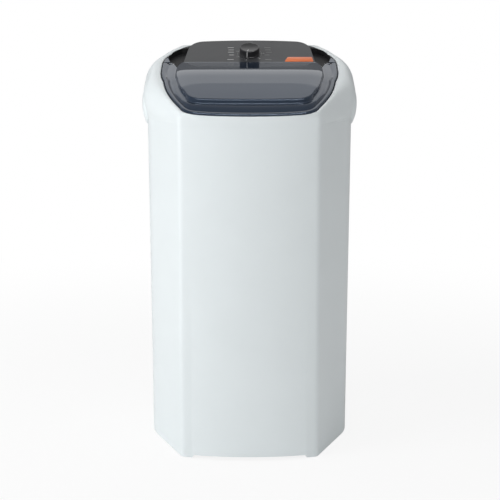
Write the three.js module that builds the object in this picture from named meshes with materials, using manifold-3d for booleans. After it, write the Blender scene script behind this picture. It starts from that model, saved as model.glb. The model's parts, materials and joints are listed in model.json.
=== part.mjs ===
// Top-loading spin dryer: an eight-sided moulded cabinet with a smoked lid, one timer knob and a
// perforated basket that a motor on three springs spins about a vertical shaft.
// Millimetres, +Z up. The front faces -Y and the origin is on the floor under the middle.

import * as THREE from 'three';
import { LoftGeometry } from 'three/addons/geometries/LoftGeometry.js';
import { mergeVertices, mergeGeometries } from 'three/addons/utils/BufferGeometryUtils.js';
import Module from 'manifold-3d';

const wasm = await Module();
wasm.setup();

// ---------------------------------------------------------------- driving dimensions

const gap = 0.3;                  // between pieces that touch
const degree = Math.PI / 180;

// Cabinet
const bodyHalfWidth = 270;        // at the seam with the top cover
const bodyTaper = 5;              // how much narrower each side is at the floor
const bodyHalfDepth = 276;
const sideFrontY = -38;           // the flat sides run from here
const sideRearY = 112;            // to here
const rearHalfWidth = 188;
const bodyCorner = 40;            // radius of the side and rear corners
const frontBow = 24;              // how far the front face bulges past its two creases
const frontHalfWidth = 176;       // to the crease beside the front face
const creaseRadius = 9;
const cabinetWall = 3;
const cabinetFlange = 16;         // inward ledge round the top
const seamHeight = 859;           // where cabinet and top cover meet
const cabinetFoot = 3;            // lower edge of the cabinet above the floor
const skirtArch = 8;              // how far the edge rises between the moulded front feet
const skirtArchHalfWidth = 150;
const skirtArchSlant = 7;
const padRadius = 20;
const padSetback = 54;            // from the cabinet's corner to the middle of a foot pad
const rearOpeningHalfWidth = 96;
const rearOpeningLow = 70;
const rearOpeningHigh = 318;
const rearCoverThickness = 2;
const rearCoverLap = 8;           // behind the edge of the opening

// Top cover
const coverWall = 3;
const coverFrontRise = 27;        // of the cover's top above the seam, at its front
const coverSlope = 17 * degree;   // how steeply the rim of the lid opening climbs to the rear
const coverPlateau = 45;          // depth of the flat part behind the control panel
const coverRearRise = coverFrontRise + (2 * bodyHalfDepth - coverPlateau) * Math.tan(coverSlope);
const coverFlare = 11;            // how much wider the cover is above the seam, at each side
const coverRoll = 48;             // height of the rounded shoulder where the cover is wide
const coverRollShare = 0.8;       // of the cover's flat width that the shoulder takes
const coverFullWidth = 30;        // flat width from which the shoulder has its full height
const wellDepth = 18;             // from the cover's top to the ledge that carries the lid
const wellLedge = 12;
const wellFillet = 3;
const bridgeFront = 58;           // of the bar across the opening, under the lid's rear edge
const gripReach = 16;             // how far each hand grip stands out from the cabinet
const gripRise = 70;              // above the seam
const gripDrop = 17;              // how far the grip hangs below the seam
const gripLength = 176;
const gripMiddleY = 36;
const gripBacking = 3.5;          // wall between the finger hollow and the inside
const gripHollow = 25;            // how far the finger hollow reaches above the seam
const gripHollowWidth = 10;
const gripHollowLength = 104;

// Lid
const lidGap = 2;                 // all round, inside the opening
const lidWall = 3;
const lidProud = 2;               // the rim above the cover
const lidSeal = 2.4;              // height of the rubber seal under the rim
const lidStepFront = 16;          // raised middle above the rim, at its front
const lidStepRear = 5;            // and at the hinge
const lidRearY = 83;
const hingeY = 79;
const hingeSink = 4.5;            // of the hinge axis below the cover's slope
const hingePinRadius = 3;
const hingePinGap = 0.4;
const hingeX = bodyHalfWidth - 57;
const hingeWidth = 10;            // of the lid's boss between the bracket's ears
const hingeBoss = 5.5;
const hingeEar = 2.5;
const hingeEarGap = 0.6;

// Control panel
const panelFrontY = 94;
const panelProud = 1;             // of the panel's lower edge above the cover's slope
const panelSlope = 26 * degree;
const panelLength = 124;          // along its slope
const panelHalfWidth = bodyHalfWidth - 92;  // at the lower edge
const panelTopHalfWidth = panelHalfWidth - 12;
const panelCorner = 30;
const fasciaThickness = 2;
const panelWall = 3;
const knobRadius = 28;
const knobHeight = 22;
const knobAlong = 46;             // from the panel's lower edge, along its slope
const knobSeat = 0.8;             // between knob and fascia
const pointerTurn = -14 * degree; // where the pointer rests, from straight down the panel
const spindleRadius = 4;
const spindleGap = 0.5;
const panelCrown = 3;             // how far the panel's top edge bows up
const panelDepth = 84;
const pocketDepth = 13;
const timerSize = 56;
const timerDepth = 34;

// Tub, basket and drive, round the vertical axis
const tubRadius = Math.min(bodyHalfWidth, bodyHalfDepth) - 32;
const tubWall = 3;
const tubFloor = 334;
const collarWall = 3;
const collarSetback = 19;         // from the outside of the cabinet
const collarLip = 32;
const basketRadius = tubRadius - 26;
const mouthRadius = basketRadius - 34;
const basketWall = 2;
const basketFloor = 384;
const basketTop = seamHeight - 57;
const balanceHeight = 24;
const basketSides = 32;
const holeRows = 5;
const holesPerRow = 16;
const holeWidth = 9;
const holeHeight = 14;
const shaftRadius = 9;
const bearingRadius = 20;
const bearingHeight = 13;
const motorPlateHeight = 150;
const motorPlateThickness = 6;
const motorRadius = 66;
const springCircle = 128;
const springRadius = 18;
const springWire = 3;
const springTurns = 5;
const baseHeight = 24;
const baseThickness = 4;
const drumRadius = 44;
const drumHeight = 34;
const drumLow = 168;
const hubRadius = 58;
const hubBossRadius = 22;
const bellTop = 214;
const tubeTop = 312;
const motorLow = 66;
const statorLow = 84;
const statorHigh = 128;
const rotorRadius = 38;
const fanHeight = 38;
const leverHeight = drumLow + drumHeight / 2;
const leverReach = 92;
const brakePivot = [78, -84];
const pivotRadius = 4;
const shoeGap = 4;                // to the drum while the lid is shut
const shoeThickness = 5;
const shoeHalfWidth = 15;
const cableEnd = [-86, -78];
const cableRadius = 3;
const harnessRadius = 3.5;
const capacitorPlace = [150, 110];
const switchBodyDepth = 24;

// ---------------------------------------------------------------- materials

const finish = (color, roughness, metalness = 0) =>
  new THREE.MeshStandardMaterial({ color, roughness, metalness });

const whitePlastic = () => finish(0xdfe6e8, 0.38);
const darkPlastic = () => finish(0x35373a, 0.55);
const panelPlastic = () => finish(0x4b4e52, 0.45);
const smokedPlastic = () => finish(0x5f6874, 0.12);
const tubPlastic = () => finish(0xc9ccce, 0.5);
const steel = () => finish(0xb4b6b8, 0.35, 0.9);
const stainless = () => finish(0xc8cacc, 0.25, 1);
const galvanized = () => finish(0x9a9ea2, 0.5, 0.85);
const castAluminium = () => finish(0xa6a8aa, 0.55, 0.8);
const blackRubber = () => finish(0x1d1e20, 0.85);
const enamel = () => finish(0x2e3238, 0.5, 0.3);
const brakeLining = () => finish(0x4a4038, 0.9);

// ---------------------------------------------------------------- geometry helpers

const dryer = new THREE.Group();

/** A closed mesh of shared positions only, without collapsed triangles. */
function weld(geometry) {
  const bare = new THREE.BufferGeometry().copy(geometry);
  bare.deleteAttribute('normal');
  bare.deleteAttribute('uv');
  const welded = mergeVertices(bare, 1e-4);
  const index = welded.index.array;
  const kept = [];
  for (let i = 0; i < index.length; i += 3) {
    const [a, b, c] = [index[i], index[i + 1], index[i + 2]];
    if (a !== b && b !== c && c !== a) kept.push(a, b, c);
  }
  welded.setIndex(kept);
  return welded;
}

/** A solid that can be joined and cut. */
function solid(geometry) {
  const { index, attributes } = weld(geometry);
  const vertProperties = new Float32Array(attributes.position.array);
  const triVerts = new Uint32Array(index.array);
  return new wasm.Manifold(new wasm.Mesh({ numProp: 3, vertProperties, triVerts }));
}

/** The solid's triangles as three.js geometry. */
function geometryOf(body) {
  const { vertProperties, triVerts } = body.getMesh();
  const geometry = new THREE.BufferGeometry();
  geometry.setAttribute('position', new THREE.BufferAttribute(vertProperties, 3));
  geometry.setIndex(new THREE.BufferAttribute(triVerts, 1));
  return geometry;
}

/** Adds one named piece to the model; where it stands is in its geometry. */
function piece(name, shape, material) {
  const geometry = shape.isBufferGeometry ? weld(shape) : geometryOf(shape);
  geometry.computeVertexNormals();
  const mesh = new THREE.Mesh(geometry, material);
  mesh.name = name;
  dryer.add(mesh);
  return mesh;
}

/** A box between two corners. */
function block(x0, x1, y0, y1, z0, z1) {
  const geometry = new THREE.BoxGeometry(x1 - x0, y1 - y0, z1 - z0);
  return geometry.translate((x0 + x1) / 2, (y0 + y1) / 2, (z0 + z1) / 2);
}

/** An upright cylinder or cone. */
function post(radius, z0, z1, sides = 24, topRadius = radius, x = 0, y = 0) {
  const geometry = new THREE.CylinderGeometry(topRadius, radius, z1 - z0, sides);
  return geometry.rotateX(Math.PI / 2).translate(x, y, (z0 + z1) / 2);
}

/** A closed profile of [radius, height] pairs turned about the vertical axis. */
function turned(profile, sides = 32, x = 0, y = 0) {
  const points = [...profile, profile[0]].map(([r, z]) => new THREE.Vector2(r, z));
  const geometry = new THREE.LatheGeometry(points, sides);
  return outward(geometry.rotateX(Math.PI / 2).translate(x, y, 0));
}

/** The same geometry with its faces turned outwards. */
function outward(geometry) {
  const welded = weld(geometry);
  const { index, attributes: { position } } = welded;
  const [a, b, c] = [new THREE.Vector3(), new THREE.Vector3(), new THREE.Vector3()];
  let volume = 0;
  for (let i = 0; i < index.count; i += 3) {
    a.fromBufferAttribute(position, index.getX(i));
    b.fromBufferAttribute(position, index.getX(i + 1));
    c.fromBufferAttribute(position, index.getX(i + 2));
    volume += a.dot(b.cross(c));
  }
  if (volume < 0) welded.setIndex(Array.from(index.array).reverse());
  return welded;
}

/** An upright prism over a plan outline, with optional holes. */
function prism(points, z0, z1, holes = []) {
  const shape = new THREE.Shape(points);
  shape.holes = holes.map((hole) => new THREE.Path(hole));
  const geometry = new THREE.ExtrudeGeometry(shape, { depth: z1 - z0, bevelEnabled: false });
  return geometry.translate(0, 0, z0);
}

/** A rod of even thickness along a smooth line of points. */
function rod(points, radius, steps, sides = 8) {
  const section = new THREE.Shape(circle(radius, sides));
  const extrudePath = points instanceof THREE.Curve ? points : new THREE.CatmullRomCurve3(points);
  return outward(new THREE.ExtrudeGeometry(section, { steps, extrudePath, bevelEnabled: false }));
}

/** A hollow pipe of even wall along a curve. */
function pipe(extrudePath, outer, inner, steps, sides = 12) {
  const section = new THREE.Shape(circle(outer, sides));
  section.holes.push(new THREE.Path(circle(inner, sides)));
  return outward(new THREE.ExtrudeGeometry(section, { steps, extrudePath, bevelEnabled: false }));
}

/** A skin through rings that ends where it began, so the rings bound a wall. */
const ringWall = (rings) => outward(new LoftGeometry([...rings, rings[0]]));

/** The middle of a ring, as a ring that has shrunk to one point. */
function shrunk(ring) {
  const sum = ring.reduce((total, point) => total.add(point), new THREE.Vector3());
  const middle = sum.divideScalar(ring.length);
  return ring.map(() => middle);
}

/** A skin through rings, closed at each end by a fan of faces. */
const loft = (rings) => outward(new LoftGeometry([shrunk(rings[0]), ...rings, shrunk(rings.at(-1))]));

const circle = (radius, sides, x = 0, y = 0) =>
  Array.from({ length: sides }, (_, i) => new THREE.Vector2(
    x + radius * Math.cos((i * 2 * Math.PI) / sides),
    y + radius * Math.sin((i * 2 * Math.PI) / sides),
  ));

/** Copies of a geometry turned about the vertical axis. */
const around = (geometry, count, start = 0) =>
  Array.from({ length: count }, (_, i) =>
    weld(geometry).rotateZ(start + (i * 2 * Math.PI) / count));

const asSolid = (shape) => (shape.isBufferGeometry ? solid(shape) : shape);
const joined = (shapes) => shapes.map(asSolid).reduce((whole, next) => whole.add(next));
const cut = (body, tools) => tools.map(asSolid).reduce((rest, tool) => rest.subtract(tool), asSolid(body));

const mirrored = (geometry) => outward(weld(geometry).scale(-1, 1, 1));

// ---------------------------------------------------------------- plan outlines

/**
 * An eight-sided plan outline with a bowed front, counterclockwise from the middle of the front.
 * front, side and rear each give a corner as [x, y]; sideRear is where the straight side ends.
 */
function outline({ bow, crease, front, side, sideRear, rear, corner }) {
  const [fx, fy] = front;
  const [sx, sy] = side;
  const [rx, ry] = rear;
  const half = new THREE.Path();
  half.moveTo(0, fy - bow);
  half.quadraticCurveTo(fx / 2, fy - bow, fx - crease, fy - (2 * bow * crease) / fx);
  const facet = new THREE.Vector2(sx - fx, sy - fy).normalize();
  half.quadraticCurveTo(fx, fy, fx + facet.x * crease, fy + facet.y * crease);
  const turnIn = new THREE.Vector2(sx, sy).addScaledVector(facet, -corner);
  half.lineTo(turnIn.x, turnIn.y);
  half.quadraticCurveTo(sx, sy, sx, sy + corner);
  const [bx, by] = sideRear;
  half.lineTo(sx, by - corner);
  const rearFacet = new THREE.Vector2(rx - bx, ry - by).normalize();
  half.quadraticCurveTo(sx, by, sx + rearFacet.x * corner, by + rearFacet.y * corner);
  half.lineTo(rx - rearFacet.x * corner, ry - rearFacet.y * corner);
  half.quadraticCurveTo(rx, ry, rx - corner, ry);
  const right = half.getPoints(4);
  const left = right.slice(1).reverse().map(({ x, y }) => new THREE.Vector2(-x, y));
  return [...right, ...left];
}

/** The outline moved inwards by a distance, or by a list of one distance for each point. */
function inset(points, distance) {
  const count = points.length;
  return points.map((point, i) => {
    const before = points[(i + count - 1) % count];
    const after = points[(i + 1) % count];
    const a = point.clone().sub(before).normalize();
    const b = after.clone().sub(point).normalize();
    const normal = new THREE.Vector2(-(a.y + b.y), a.x + b.x).normalize();
    const miter = Math.max(0.5, new THREE.Vector2(-a.y, a.x).dot(normal));
    const reach = Array.isArray(distance) ? distance[i] : distance;
    return point.clone().addScaledVector(normal, reach / miter);
  });
}

/** The shortest way from a point to an outline. */
function distanceTo(points, point) {
  const from = new THREE.Vector3(point.x, point.y, 0);
  const nearest = new THREE.Vector3();
  return Math.min(...points.map(({ x, y }, i) => {
    const next = points[(i + 1) % points.length];
    const side = new THREE.Line3(new THREE.Vector3(x, y, 0), new THREE.Vector3(next.x, next.y, 0));
    return side.closestPointToPoint(from, true, nearest).distanceTo(from);
  }));
}

const at = (points, z) => points.map(({ x, y }) => new THREE.Vector3(x, y, z));
const atHeights = (points, heightAt) => points.map(({ x, y }) => new THREE.Vector3(x, y, heightAt(x, y)));

const creaseY = -(bodyHalfDepth - frontBow);
const bodyAt = (halfWidth) => outline({
  bow: frontBow,
  crease: creaseRadius,
  front: [frontHalfWidth, creaseY],
  side: [halfWidth, sideFrontY],
  sideRear: [halfWidth, sideRearY],
  rear: [rearHalfWidth, bodyHalfDepth],
  corner: bodyCorner,
});
const bodyTop = bodyAt(bodyHalfWidth);
const bodyFoot = bodyAt(bodyHalfWidth - bodyTaper);
const coverBelly = bodyAt(bodyHalfWidth + coverFlare);

const wellCorners = outline({
  bow: 19,
  crease: 28,
  front: [frontHalfWidth - 16, creaseY + 2],
  side: [bodyHalfWidth - 32, sideFrontY + 40],
  sideRear: [bodyHalfWidth - 32, sideRearY + 4],
  rear: [rearHalfWidth - 20, bodyHalfDepth - 44],
  corner: 30,
});

const bearingOf = ({ x, y }) => Math.atan2(x, -y);
const leastBearing = 2.2 * degree;
const bearings = [...bodyTop, ...wellCorners].map(bearingOf).sort((a, b) => a - b)
  .filter((angle, i, all) => i === 0 || angle - all[i - 1] > leastBearing);

/** The outline met by a ray from the middle at every bearing, so that rings match point for point. */
function matched(points) {
  const last = points.length - 1;
  return bearings.map((angle) => {
    const ray = new THREE.Vector2(Math.sin(angle), -Math.cos(angle));
    const i = points.findIndex((point, k) => {
      const next = points[k === last ? 0 : k + 1];
      return ray.cross(point) <= 0 && ray.cross(next) > 0 && ray.dot(point) > 0;
    });
    const from = points[i];
    const along = points[i === last ? 0 : i + 1].clone().sub(from);
    return from.clone().addScaledVector(along, ray.cross(from) / -ray.cross(along));
  });
}

const coverOutline = matched(bodyTop);
const bellyOutline = matched(coverBelly);
const wellOutline = matched(wellCorners);

const slopeHeight = (y) => seamHeight + coverFrontRise + (y + bodyHalfDepth) * Math.tan(coverSlope);
const coverHeight = (x, y) => Math.min(slopeHeight(y), seamHeight + coverRearRise);
const hingeHeight = slopeHeight(hingeY) - hingeSink;
const panelFrontHeight = slopeHeight(panelFrontY) + panelProud;

// ---------------------------------------------------------------- cabinet and base

const rearInside = bodyHalfDepth - cabinetWall;
const insideHalfWidth = bodyHalfWidth - cabinetWall;
const harnessX = 70;              // where the wiring passes the cabinet's flange
const cableY = 10;                // and where the brake cable does
const outletX = -126;
const outletHeight = 66;
const outletRadius = 15;
const outletWall = 2.5;
const glandX = 130;
const glandHeight = 96;
const glandRadius = 8;
const glandLip = 3;

/** A rod along Y between two depths. */
const rearPipe = (radius, y0, y1, x, z, sides = 20) =>
  post(radius, y0, y1, sides).rotateX(-Math.PI / 2).translate(x, 0, z);

/** A slot with slanted ends, cut upwards into the cabinet's lower edge between two feet. */
function skirtArchTool() {
  const top = cabinetFoot + skirtArch;
  const shape = new THREE.Shape([
    new THREE.Vector2(-skirtArchHalfWidth, cabinetFoot - 1),
    new THREE.Vector2(skirtArchHalfWidth, cabinetFoot - 1),
    new THREE.Vector2(skirtArchHalfWidth - skirtArchSlant, top),
    new THREE.Vector2(skirtArchSlant - skirtArchHalfWidth, top),
  ]);
  const depth = 2 * bodyHalfDepth + 20;
  const tool = new THREE.ExtrudeGeometry(shape, { depth, bevelEnabled: false });
  return tool.rotateX(Math.PI / 2).translate(0, depth / 2, 0);
}

function cabinet() {
  const flange = inset(bodyTop, cabinetFlange);
  const innerTop = inset(bodyTop, cabinetWall);
  const rim = seamHeight - gap;
  const shell = ringWall([
    at(bodyFoot, cabinetFoot),
    at(bodyTop, rim),
    at(flange, rim),
    at(flange, rim - cabinetWall),
    at(innerTop, rim - cabinetWall),
    at(inset(bodyFoot, cabinetWall), cabinetFoot),
  ]);
  return cut(shell, [
    skirtArchTool(),
    block(-rearOpeningHalfWidth, rearOpeningHalfWidth, rearInside - 5, bodyHalfDepth + 5,
      rearOpeningLow, rearOpeningHigh),
    rearPipe(outletRadius + gap, rearInside - 5, bodyHalfDepth + 5, outletX, outletHeight),
    rearPipe(glandRadius + gap, rearInside - 5, bodyHalfDepth + 5, glandX, glandHeight, 16),
    block(harnessX - 8, harnessX + 8, bodyHalfDepth - cabinetFlange - 1, rearInside, seamHeight - 9,
      seamHeight + 9),
    block(-insideHalfWidth, cabinetFlange - bodyHalfWidth + 1, cableY - 8, cableY + 8,
      seamHeight - 9, seamHeight + 9),
  ]);
}

/** The pressed panel that closes the service opening, flush with the cabinet's rear wall. */
function rearCover() {
  const [width, low, high] = [rearOpeningHalfWidth - gap, rearOpeningLow + gap, rearOpeningHigh - gap];
  const lap = rearCoverLap;
  const inside = rearInside - gap;
  const face = block(-width, width, inside - rearCoverThickness, bodyHalfDepth, low, high);
  const inner = inside - rearCoverThickness;
  const flange = block(-width - lap, width + lap, inner, inside, low - lap, high + lap);
  const [hollowWidth, outer] = [width - 4, bodyHalfDepth - rearCoverThickness];
  const hollow = block(-hollowWidth, hollowWidth, inside - 9, outer, low + 4, high - 4);
  const slots = Array.from({ length: 7 }, (_, i) => {
    const z = low + 60 + i * 20;
    return block(-60, 60, inside - 9, bodyHalfDepth + 9, z, z + 6);
  });
  return cut(joined([face, flange]), [hollow, ...slots]);
}

const springPlaces = [0, 1, 2].map((i) => {
  const angle = Math.PI / 2 + (i * 2 * Math.PI) / 3;
  return [springCircle * Math.cos(angle), springCircle * Math.sin(angle)];
});

const padPlaces = [[-1, -1], [1, -1], [-1, 1], [1, 1]].map(([sx, sy]) =>
  [sx * (frontHalfWidth - padSetback / 2), sy * (-creaseY - padSetback)]);

const seatHeight = 10;            // of the cups that hold the springs' lower ends
const springSeatFloor = baseHeight + baseThickness;

/** The floor pan: a plate with an upturned rim, cross ribs and three cups for the springs. */
function basePlate() {
  const edge = inset(bodyFoot, cabinetWall + gap + 0.3);
  const pan = ringWall([
    at(edge, baseHeight),
    at(edge, baseHeight + 22),
    at(inset(edge, 3), baseHeight + 22),
    at(inset(edge, 3), springSeatFloor),
    at(circleLike(edge, 46), springSeatFloor),
    at(circleLike(edge, 46), baseHeight),
  ]);
  const cups = springPlaces.map(([x, y]) => turned([
    [springRadius + springWire + 1, springSeatFloor - 1],
    [springRadius + springWire + 4, springSeatFloor - 1],
    [springRadius + springWire + 3, springSeatFloor + seatHeight],
    [springRadius + springWire + 1, springSeatFloor + seatHeight],
  ], 16, x, y));
  return joined([pan, ...cups]);
}

/** A round outline with the point count of another one, matched by direction. */
function circleLike(points, radius) {
  return points.map(({ x, y }) => new THREE.Vector2(x, y).setLength(radius));
}

function footPad(x, y) {
  return turned([
    [0, 0], [padRadius - 3, 0], [padRadius, 4], [padRadius - 2, baseHeight - gap], [0, baseHeight - gap],
  ], 16, x, y);
}

/** The drain pipe, from the tub's outlet down to an end that is flush with the rear wall. */
function drainPipe() {
  const down = new THREE.Vector3(0, 0, -1);
  const start = new THREE.Vector3(drainX, drainY, tubFloor - drainBossHeight - gap);
  const end = new THREE.Vector3(outletX, bodyHalfDepth, outletHeight);
  const line = new THREE.CubicBezierCurve3(
    start,
    start.clone().addScaledVector(down, 190),
    new THREE.Vector3(outletX, bodyHalfDepth - 130, outletHeight),
    end,
  );
  return pipe(line, outletRadius, outletRadius - outletWall, 12, 10);
}

/** The rubber gland that the supply lead would pass through, with its lip inside the wall. */
function cordGland() {
  const [near, far] = [rearInside - gap, bodyHalfDepth];
  const bore = glandRadius / 2;
  const profile = [
    [bore, near - 14], [glandRadius - 2, near - 14], [glandRadius - 1, near - 4],
    [glandRadius + glandLip, near - 4], [glandRadius + glandLip, near], [glandRadius, near],
    [glandRadius, far], [bore, far],
  ];
  return turned(profile, 16).rotateX(-Math.PI / 2).translate(glandX, 0, glandHeight);
}

// ---------------------------------------------------------------- tub

const drainX = -150;
const drainY = 96;
const drainBossHeight = 22;
const drainBore = 11;
const tubFlangeRadius = 254;      // its rim lies on the cabinet's inner flange
const tubFlange = 2.5;
const sealHoleRadius = 56;
const tubSides = 32;

/** The fixed water tub: a cup with a sloping floor, a centre hole and a drain boss. */
function outerTub() {
  const inner = tubRadius - tubWall;
  const dish = 14;
  const shell = turned([
    [sealHoleRadius, tubFloor + dish], [sealHoleRadius + 8, tubFloor + dish], [inner - 60, tubFloor + 5],
    [inner - 14, tubFloor + 6], [inner, tubFloor + 20],
    [inner, seamHeight + tubFlange], [tubFlangeRadius, seamHeight + tubFlange], [tubFlangeRadius, seamHeight],
    [tubRadius, seamHeight], [tubRadius, tubFloor + 16], [tubRadius - 15, tubFloor],
    [inner - 60, tubFloor], [sealHoleRadius, tubFloor + dish - tubWall],
  ], tubSides);
  const boss = post(outletRadius, tubFloor - drainBossHeight, tubFloor + 3, 14, outletRadius, drainX, drainY);
  const bore = post(drainBore, tubFloor - drainBossHeight - 1, tubFloor + 30, 14, drainBore, drainX, drainY);
  return cut(joined([shell, boss]), [bore]);
}

/** The flat collar that closes the space round the tub and leads laundry into the basket. */
function tubCollar() {
  const rest = seamHeight + tubFlange + gap;
  const edge = inset(bodyTop, collarSetback);
  return ringWall([
    at(edge, rest),
    at(edge, rest + collarWall),
    at(circleLike(edge, mouthRadius + 9), rest + collarWall),
    at(circleLike(edge, mouthRadius + 1), rest - 3),
    at(circleLike(edge, mouthRadius), rest - collarLip),
    at(circleLike(edge, mouthRadius + collarWall), rest - collarLip),
    at(circleLike(edge, mouthRadius + collarWall + 1), rest - 5),
    at(circleLike(edge, mouthRadius + 11), rest),
  ]);
}

// ---------------------------------------------------------------- top cover

const widths = bellyOutline.map((point) => distanceTo(wellOutline, point));
const rolls = widths.map((width) => coverRoll * Math.min(1, width / coverFullWidth));
const wellAt = (grow, drop) => atHeights(inset(wellOutline, -grow), (x, y) => coverHeight(x, y) - drop);

/** A ring of the rounded shoulder, at a turn between the side wall and the top. */
function shoulder(turn, wall) {
  const reach = widths.map((width) =>
    wall + (coverRollShare * (width - wellFillet) - wall) * (1 - Math.cos(turn)));
  return inset(bellyOutline, reach).map(({ x, y }, i) => {
    const z = coverHeight(x, y) - rolls[i] * (1 - Math.sin(turn));
    return new THREE.Vector3(x, y, z - wall * Math.sin(turn));
  });
}

/** A ring of the side wall, part of the way up from the seam to the shoulder. */
function flared(share, wall) {
  const foot = inset(coverOutline, wall);
  return shoulder(0, wall).map((top, i) => {
    const bulge = Math.sin((share * Math.PI) / 2);
    const z = seamHeight + (top.z - seamHeight) * share;
    return new THREE.Vector3(foot[i].x, foot[i].y, z).lerp(new THREE.Vector3(top.x, top.y, z), bulge);
  });
}

/** A hand grip: a leaf-shaped swelling low on the cover's side that hangs a little below the seam. */
function gripBulge() {
  const levels = [
    [-1, 0.84, 0.8], [-0.5, 0.92, 0.88], [0, 0.97, 0.95], [0.3, 1, 1], [0.6, 0.95, 0.96], [1, 0.6, 0.7],
  ];
  const root = bodyHalfWidth - gripBacking;
  return loft(levels.map(([level, reachShare, lengthShare]) => {
    const reach = bodyHalfWidth + gripReach * reachShare - root;
    const half = (gripLength / 2) * lengthShare;
    const ring = new THREE.Path();
    ring.moveTo(root, gripMiddleY - half);
    ring.bezierCurveTo(root + reach * 0.7, gripMiddleY - half * 0.9, root + reach, gripMiddleY - half * 0.75,
      root + reach, gripMiddleY - half * 0.35);
    ring.lineTo(root + reach, gripMiddleY + half * 0.35);
    ring.bezierCurveTo(root + reach, gripMiddleY + half * 0.75, root + reach * 0.7, gripMiddleY + half * 0.9,
      root, gripMiddleY + half);
    return at(ring.getPoints(6), seamHeight + level * (level < 0 ? gripDrop : gripRise));
  }));
}

/** The bar across the opening, level with the ledge, that the control housing stands against. */
function bridge() {
  const half = bodyHalfWidth - 32 - wellLedge / 2;
  const [front, rear] = [bridgeFront, panelFrontY + 8];
  const corners = [[-half, front], [half, front], [half, rear], [-half, rear]];
  return ringSlab(corners.map(([x, y]) => new THREE.Vector2(x, y)), wellDepth + coverWall, wellDepth);
}

/** The white top: rounded shoulders, the sunk well that the lid lies in, and two hand grips. */
function topCover() {
  const turns = [0, 1, 2, 3, 4].map((i) => (i / 4) * (Math.PI / 2));
  const shell = ringWall([
    at(coverOutline, seamHeight),
    flared(0.4, 0),
    ...turns.map((turn) => shoulder(turn, 0)),
    wellAt(wellFillet, 0),
    wellAt(0, wellFillet),
    wellAt(0, wellDepth),
    wellAt(-wellLedge, wellDepth),
    wellAt(-wellLedge, wellDepth + coverWall),
    wellAt(coverWall * 0.6, wellDepth + coverWall),
    wellAt(coverWall * 0.6, wellFillet + coverWall),
    ...turns.map((turn) => shoulder(turn, coverWall)).reverse(),
    flared(0.4, coverWall),
    at(inset(coverOutline, coverWall), seamHeight),
  ]);
  const bulge = gripBulge();
  const half = gripHollowLength / 2;
  const hollow = block(bodyHalfWidth + gap, bodyHalfWidth + gap + gripHollowWidth, gripMiddleY - half,
    gripMiddleY + half, seamHeight - gripDrop - 1, seamHeight + gripHollow);
  const below = prism(inset(bodyTop, -gap), seamHeight - gripDrop - 5, seamHeight);
  const plungerHole = onCover(post(plungerRadius + plungerGap, ledgeUnder - 4, ledgeTop + 4, 12,
    plungerRadius + plungerGap, switchX, 0));
  const body = joined([shell, bridge(), bulge, mirrored(bulge)]);
  return cut(body, [hollow, mirrored(hollow), below, plungerHole]);
}

// ---------------------------------------------------------------- lid

const raisedFrontY = creaseY + 40;
const raisedOutline = matched(outline({
  bow: 5,
  crease: 16,
  front: [frontHalfWidth - 30, raisedFrontY],
  side: [bodyHalfWidth - 73, sideFrontY + 8],
  sideRear: [bodyHalfWidth - 73, sideRearY],
  rear: [rearHalfWidth - 38, bodyHalfDepth - 90],
  corner: 24,
}));

const lidSurface = (y) => slopeHeight(y) + lidProud;
const lidTop = (y) => {
  const share = (lidRearY - y) / (lidRearY - raisedFrontY);
  return lidSurface(y) + THREE.MathUtils.lerp(lidStepRear, lidStepFront, share);
};

/** A ring of the lid, inset from the well or from the raised middle, below the lid's own surface. */
const lidRing = (points, setback, surface, drop) =>
  atHeights(inset(points, setback), (x, y) => surface(y) - drop);

/** The raised middle's rings, from its foot to its flat top, under a wall's thickness. */
function raisedRings(wall) {
  const foot = 7;
  const mid = 2.5;
  return [
    lidRing(raisedOutline, wall - foot, lidSurface, wall),
    lidRing(raisedOutline, wall - mid, lidSurface, wall - 2),
    lidRing(raisedOutline, wall, lidTop, wall + 3),
    lidRing(raisedOutline, wall + 4, lidTop, wall),
  ];
}

const hingeSides = [-1, 1];
const switchX = bodyHalfWidth - 41.8;  // the lid switch, on the right under the well's ledge
const switchY = 20;
const switchStroke = 4;
const plungerRadius = 1.9;
const plungerGap = 0.4;
const ledgeTop = -wellDepth * Math.cos(coverSlope);
const ledgeUnder = -(wellDepth + coverWall) * Math.cos(coverSlope);

// Spans that reach past the whole top, for cutting it at a depth
const beyondBody = Math.max(bodyHalfWidth, bodyHalfDepth) + 40;
const acrossTop = [-beyondBody, beyondBody];
const upTop = [seamHeight - 60, seamHeight + 2 * coverRearRise];

/** Everything of the top that lies behind a depth. */
const allBehind = (y) => block(...acrossTop, y, beyondBody, ...upTop);

/** Puts a shape drawn flat at the lid switch, its height measured from the cover's slope. */
const onCover = (geometry) =>
  geometry.rotateX(coverSlope).translate(0, switchY, coverHeight(0, switchY));

/** A cylinder along X on the hinge axis, centred on one hinge. */
function crossPin(side, width, radius, sides = 16) {
  const pin = post(radius, -width, width, sides).rotateY(Math.PI / 2);
  return pin.translate(side * hingeX, hingeY, hingeHeight);
}

/** Where the two ears of a hinge bracket lie along X, with room beside them. */
function earSpans(side, room = 0) {
  const near = hingeWidth / 2 + hingeEarGap;
  const far = near + hingeEar;
  const middle = side * hingeX;
  return [[middle - far - room, middle - near + Math.min(room, gap)],
    [middle + near - Math.min(room, gap), middle + far + room]];
}

/** The boss under the lid's rim that a hinge pin passes through. */
function hingeKnuckle(side) {
  const half = hingeWidth / 2;
  const rim = lidSurface(hingeY) - lidWall / 2;
  const eye = crossPin(side, half, hingeBoss);
  const [x0, x1] = [side * hingeX - half, side * hingeX + half];
  const web = block(x0, x1, hingeY - hingeBoss, hingeY + 3, hingeHeight, rim);
  return joined([eye, web]);
}

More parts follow.
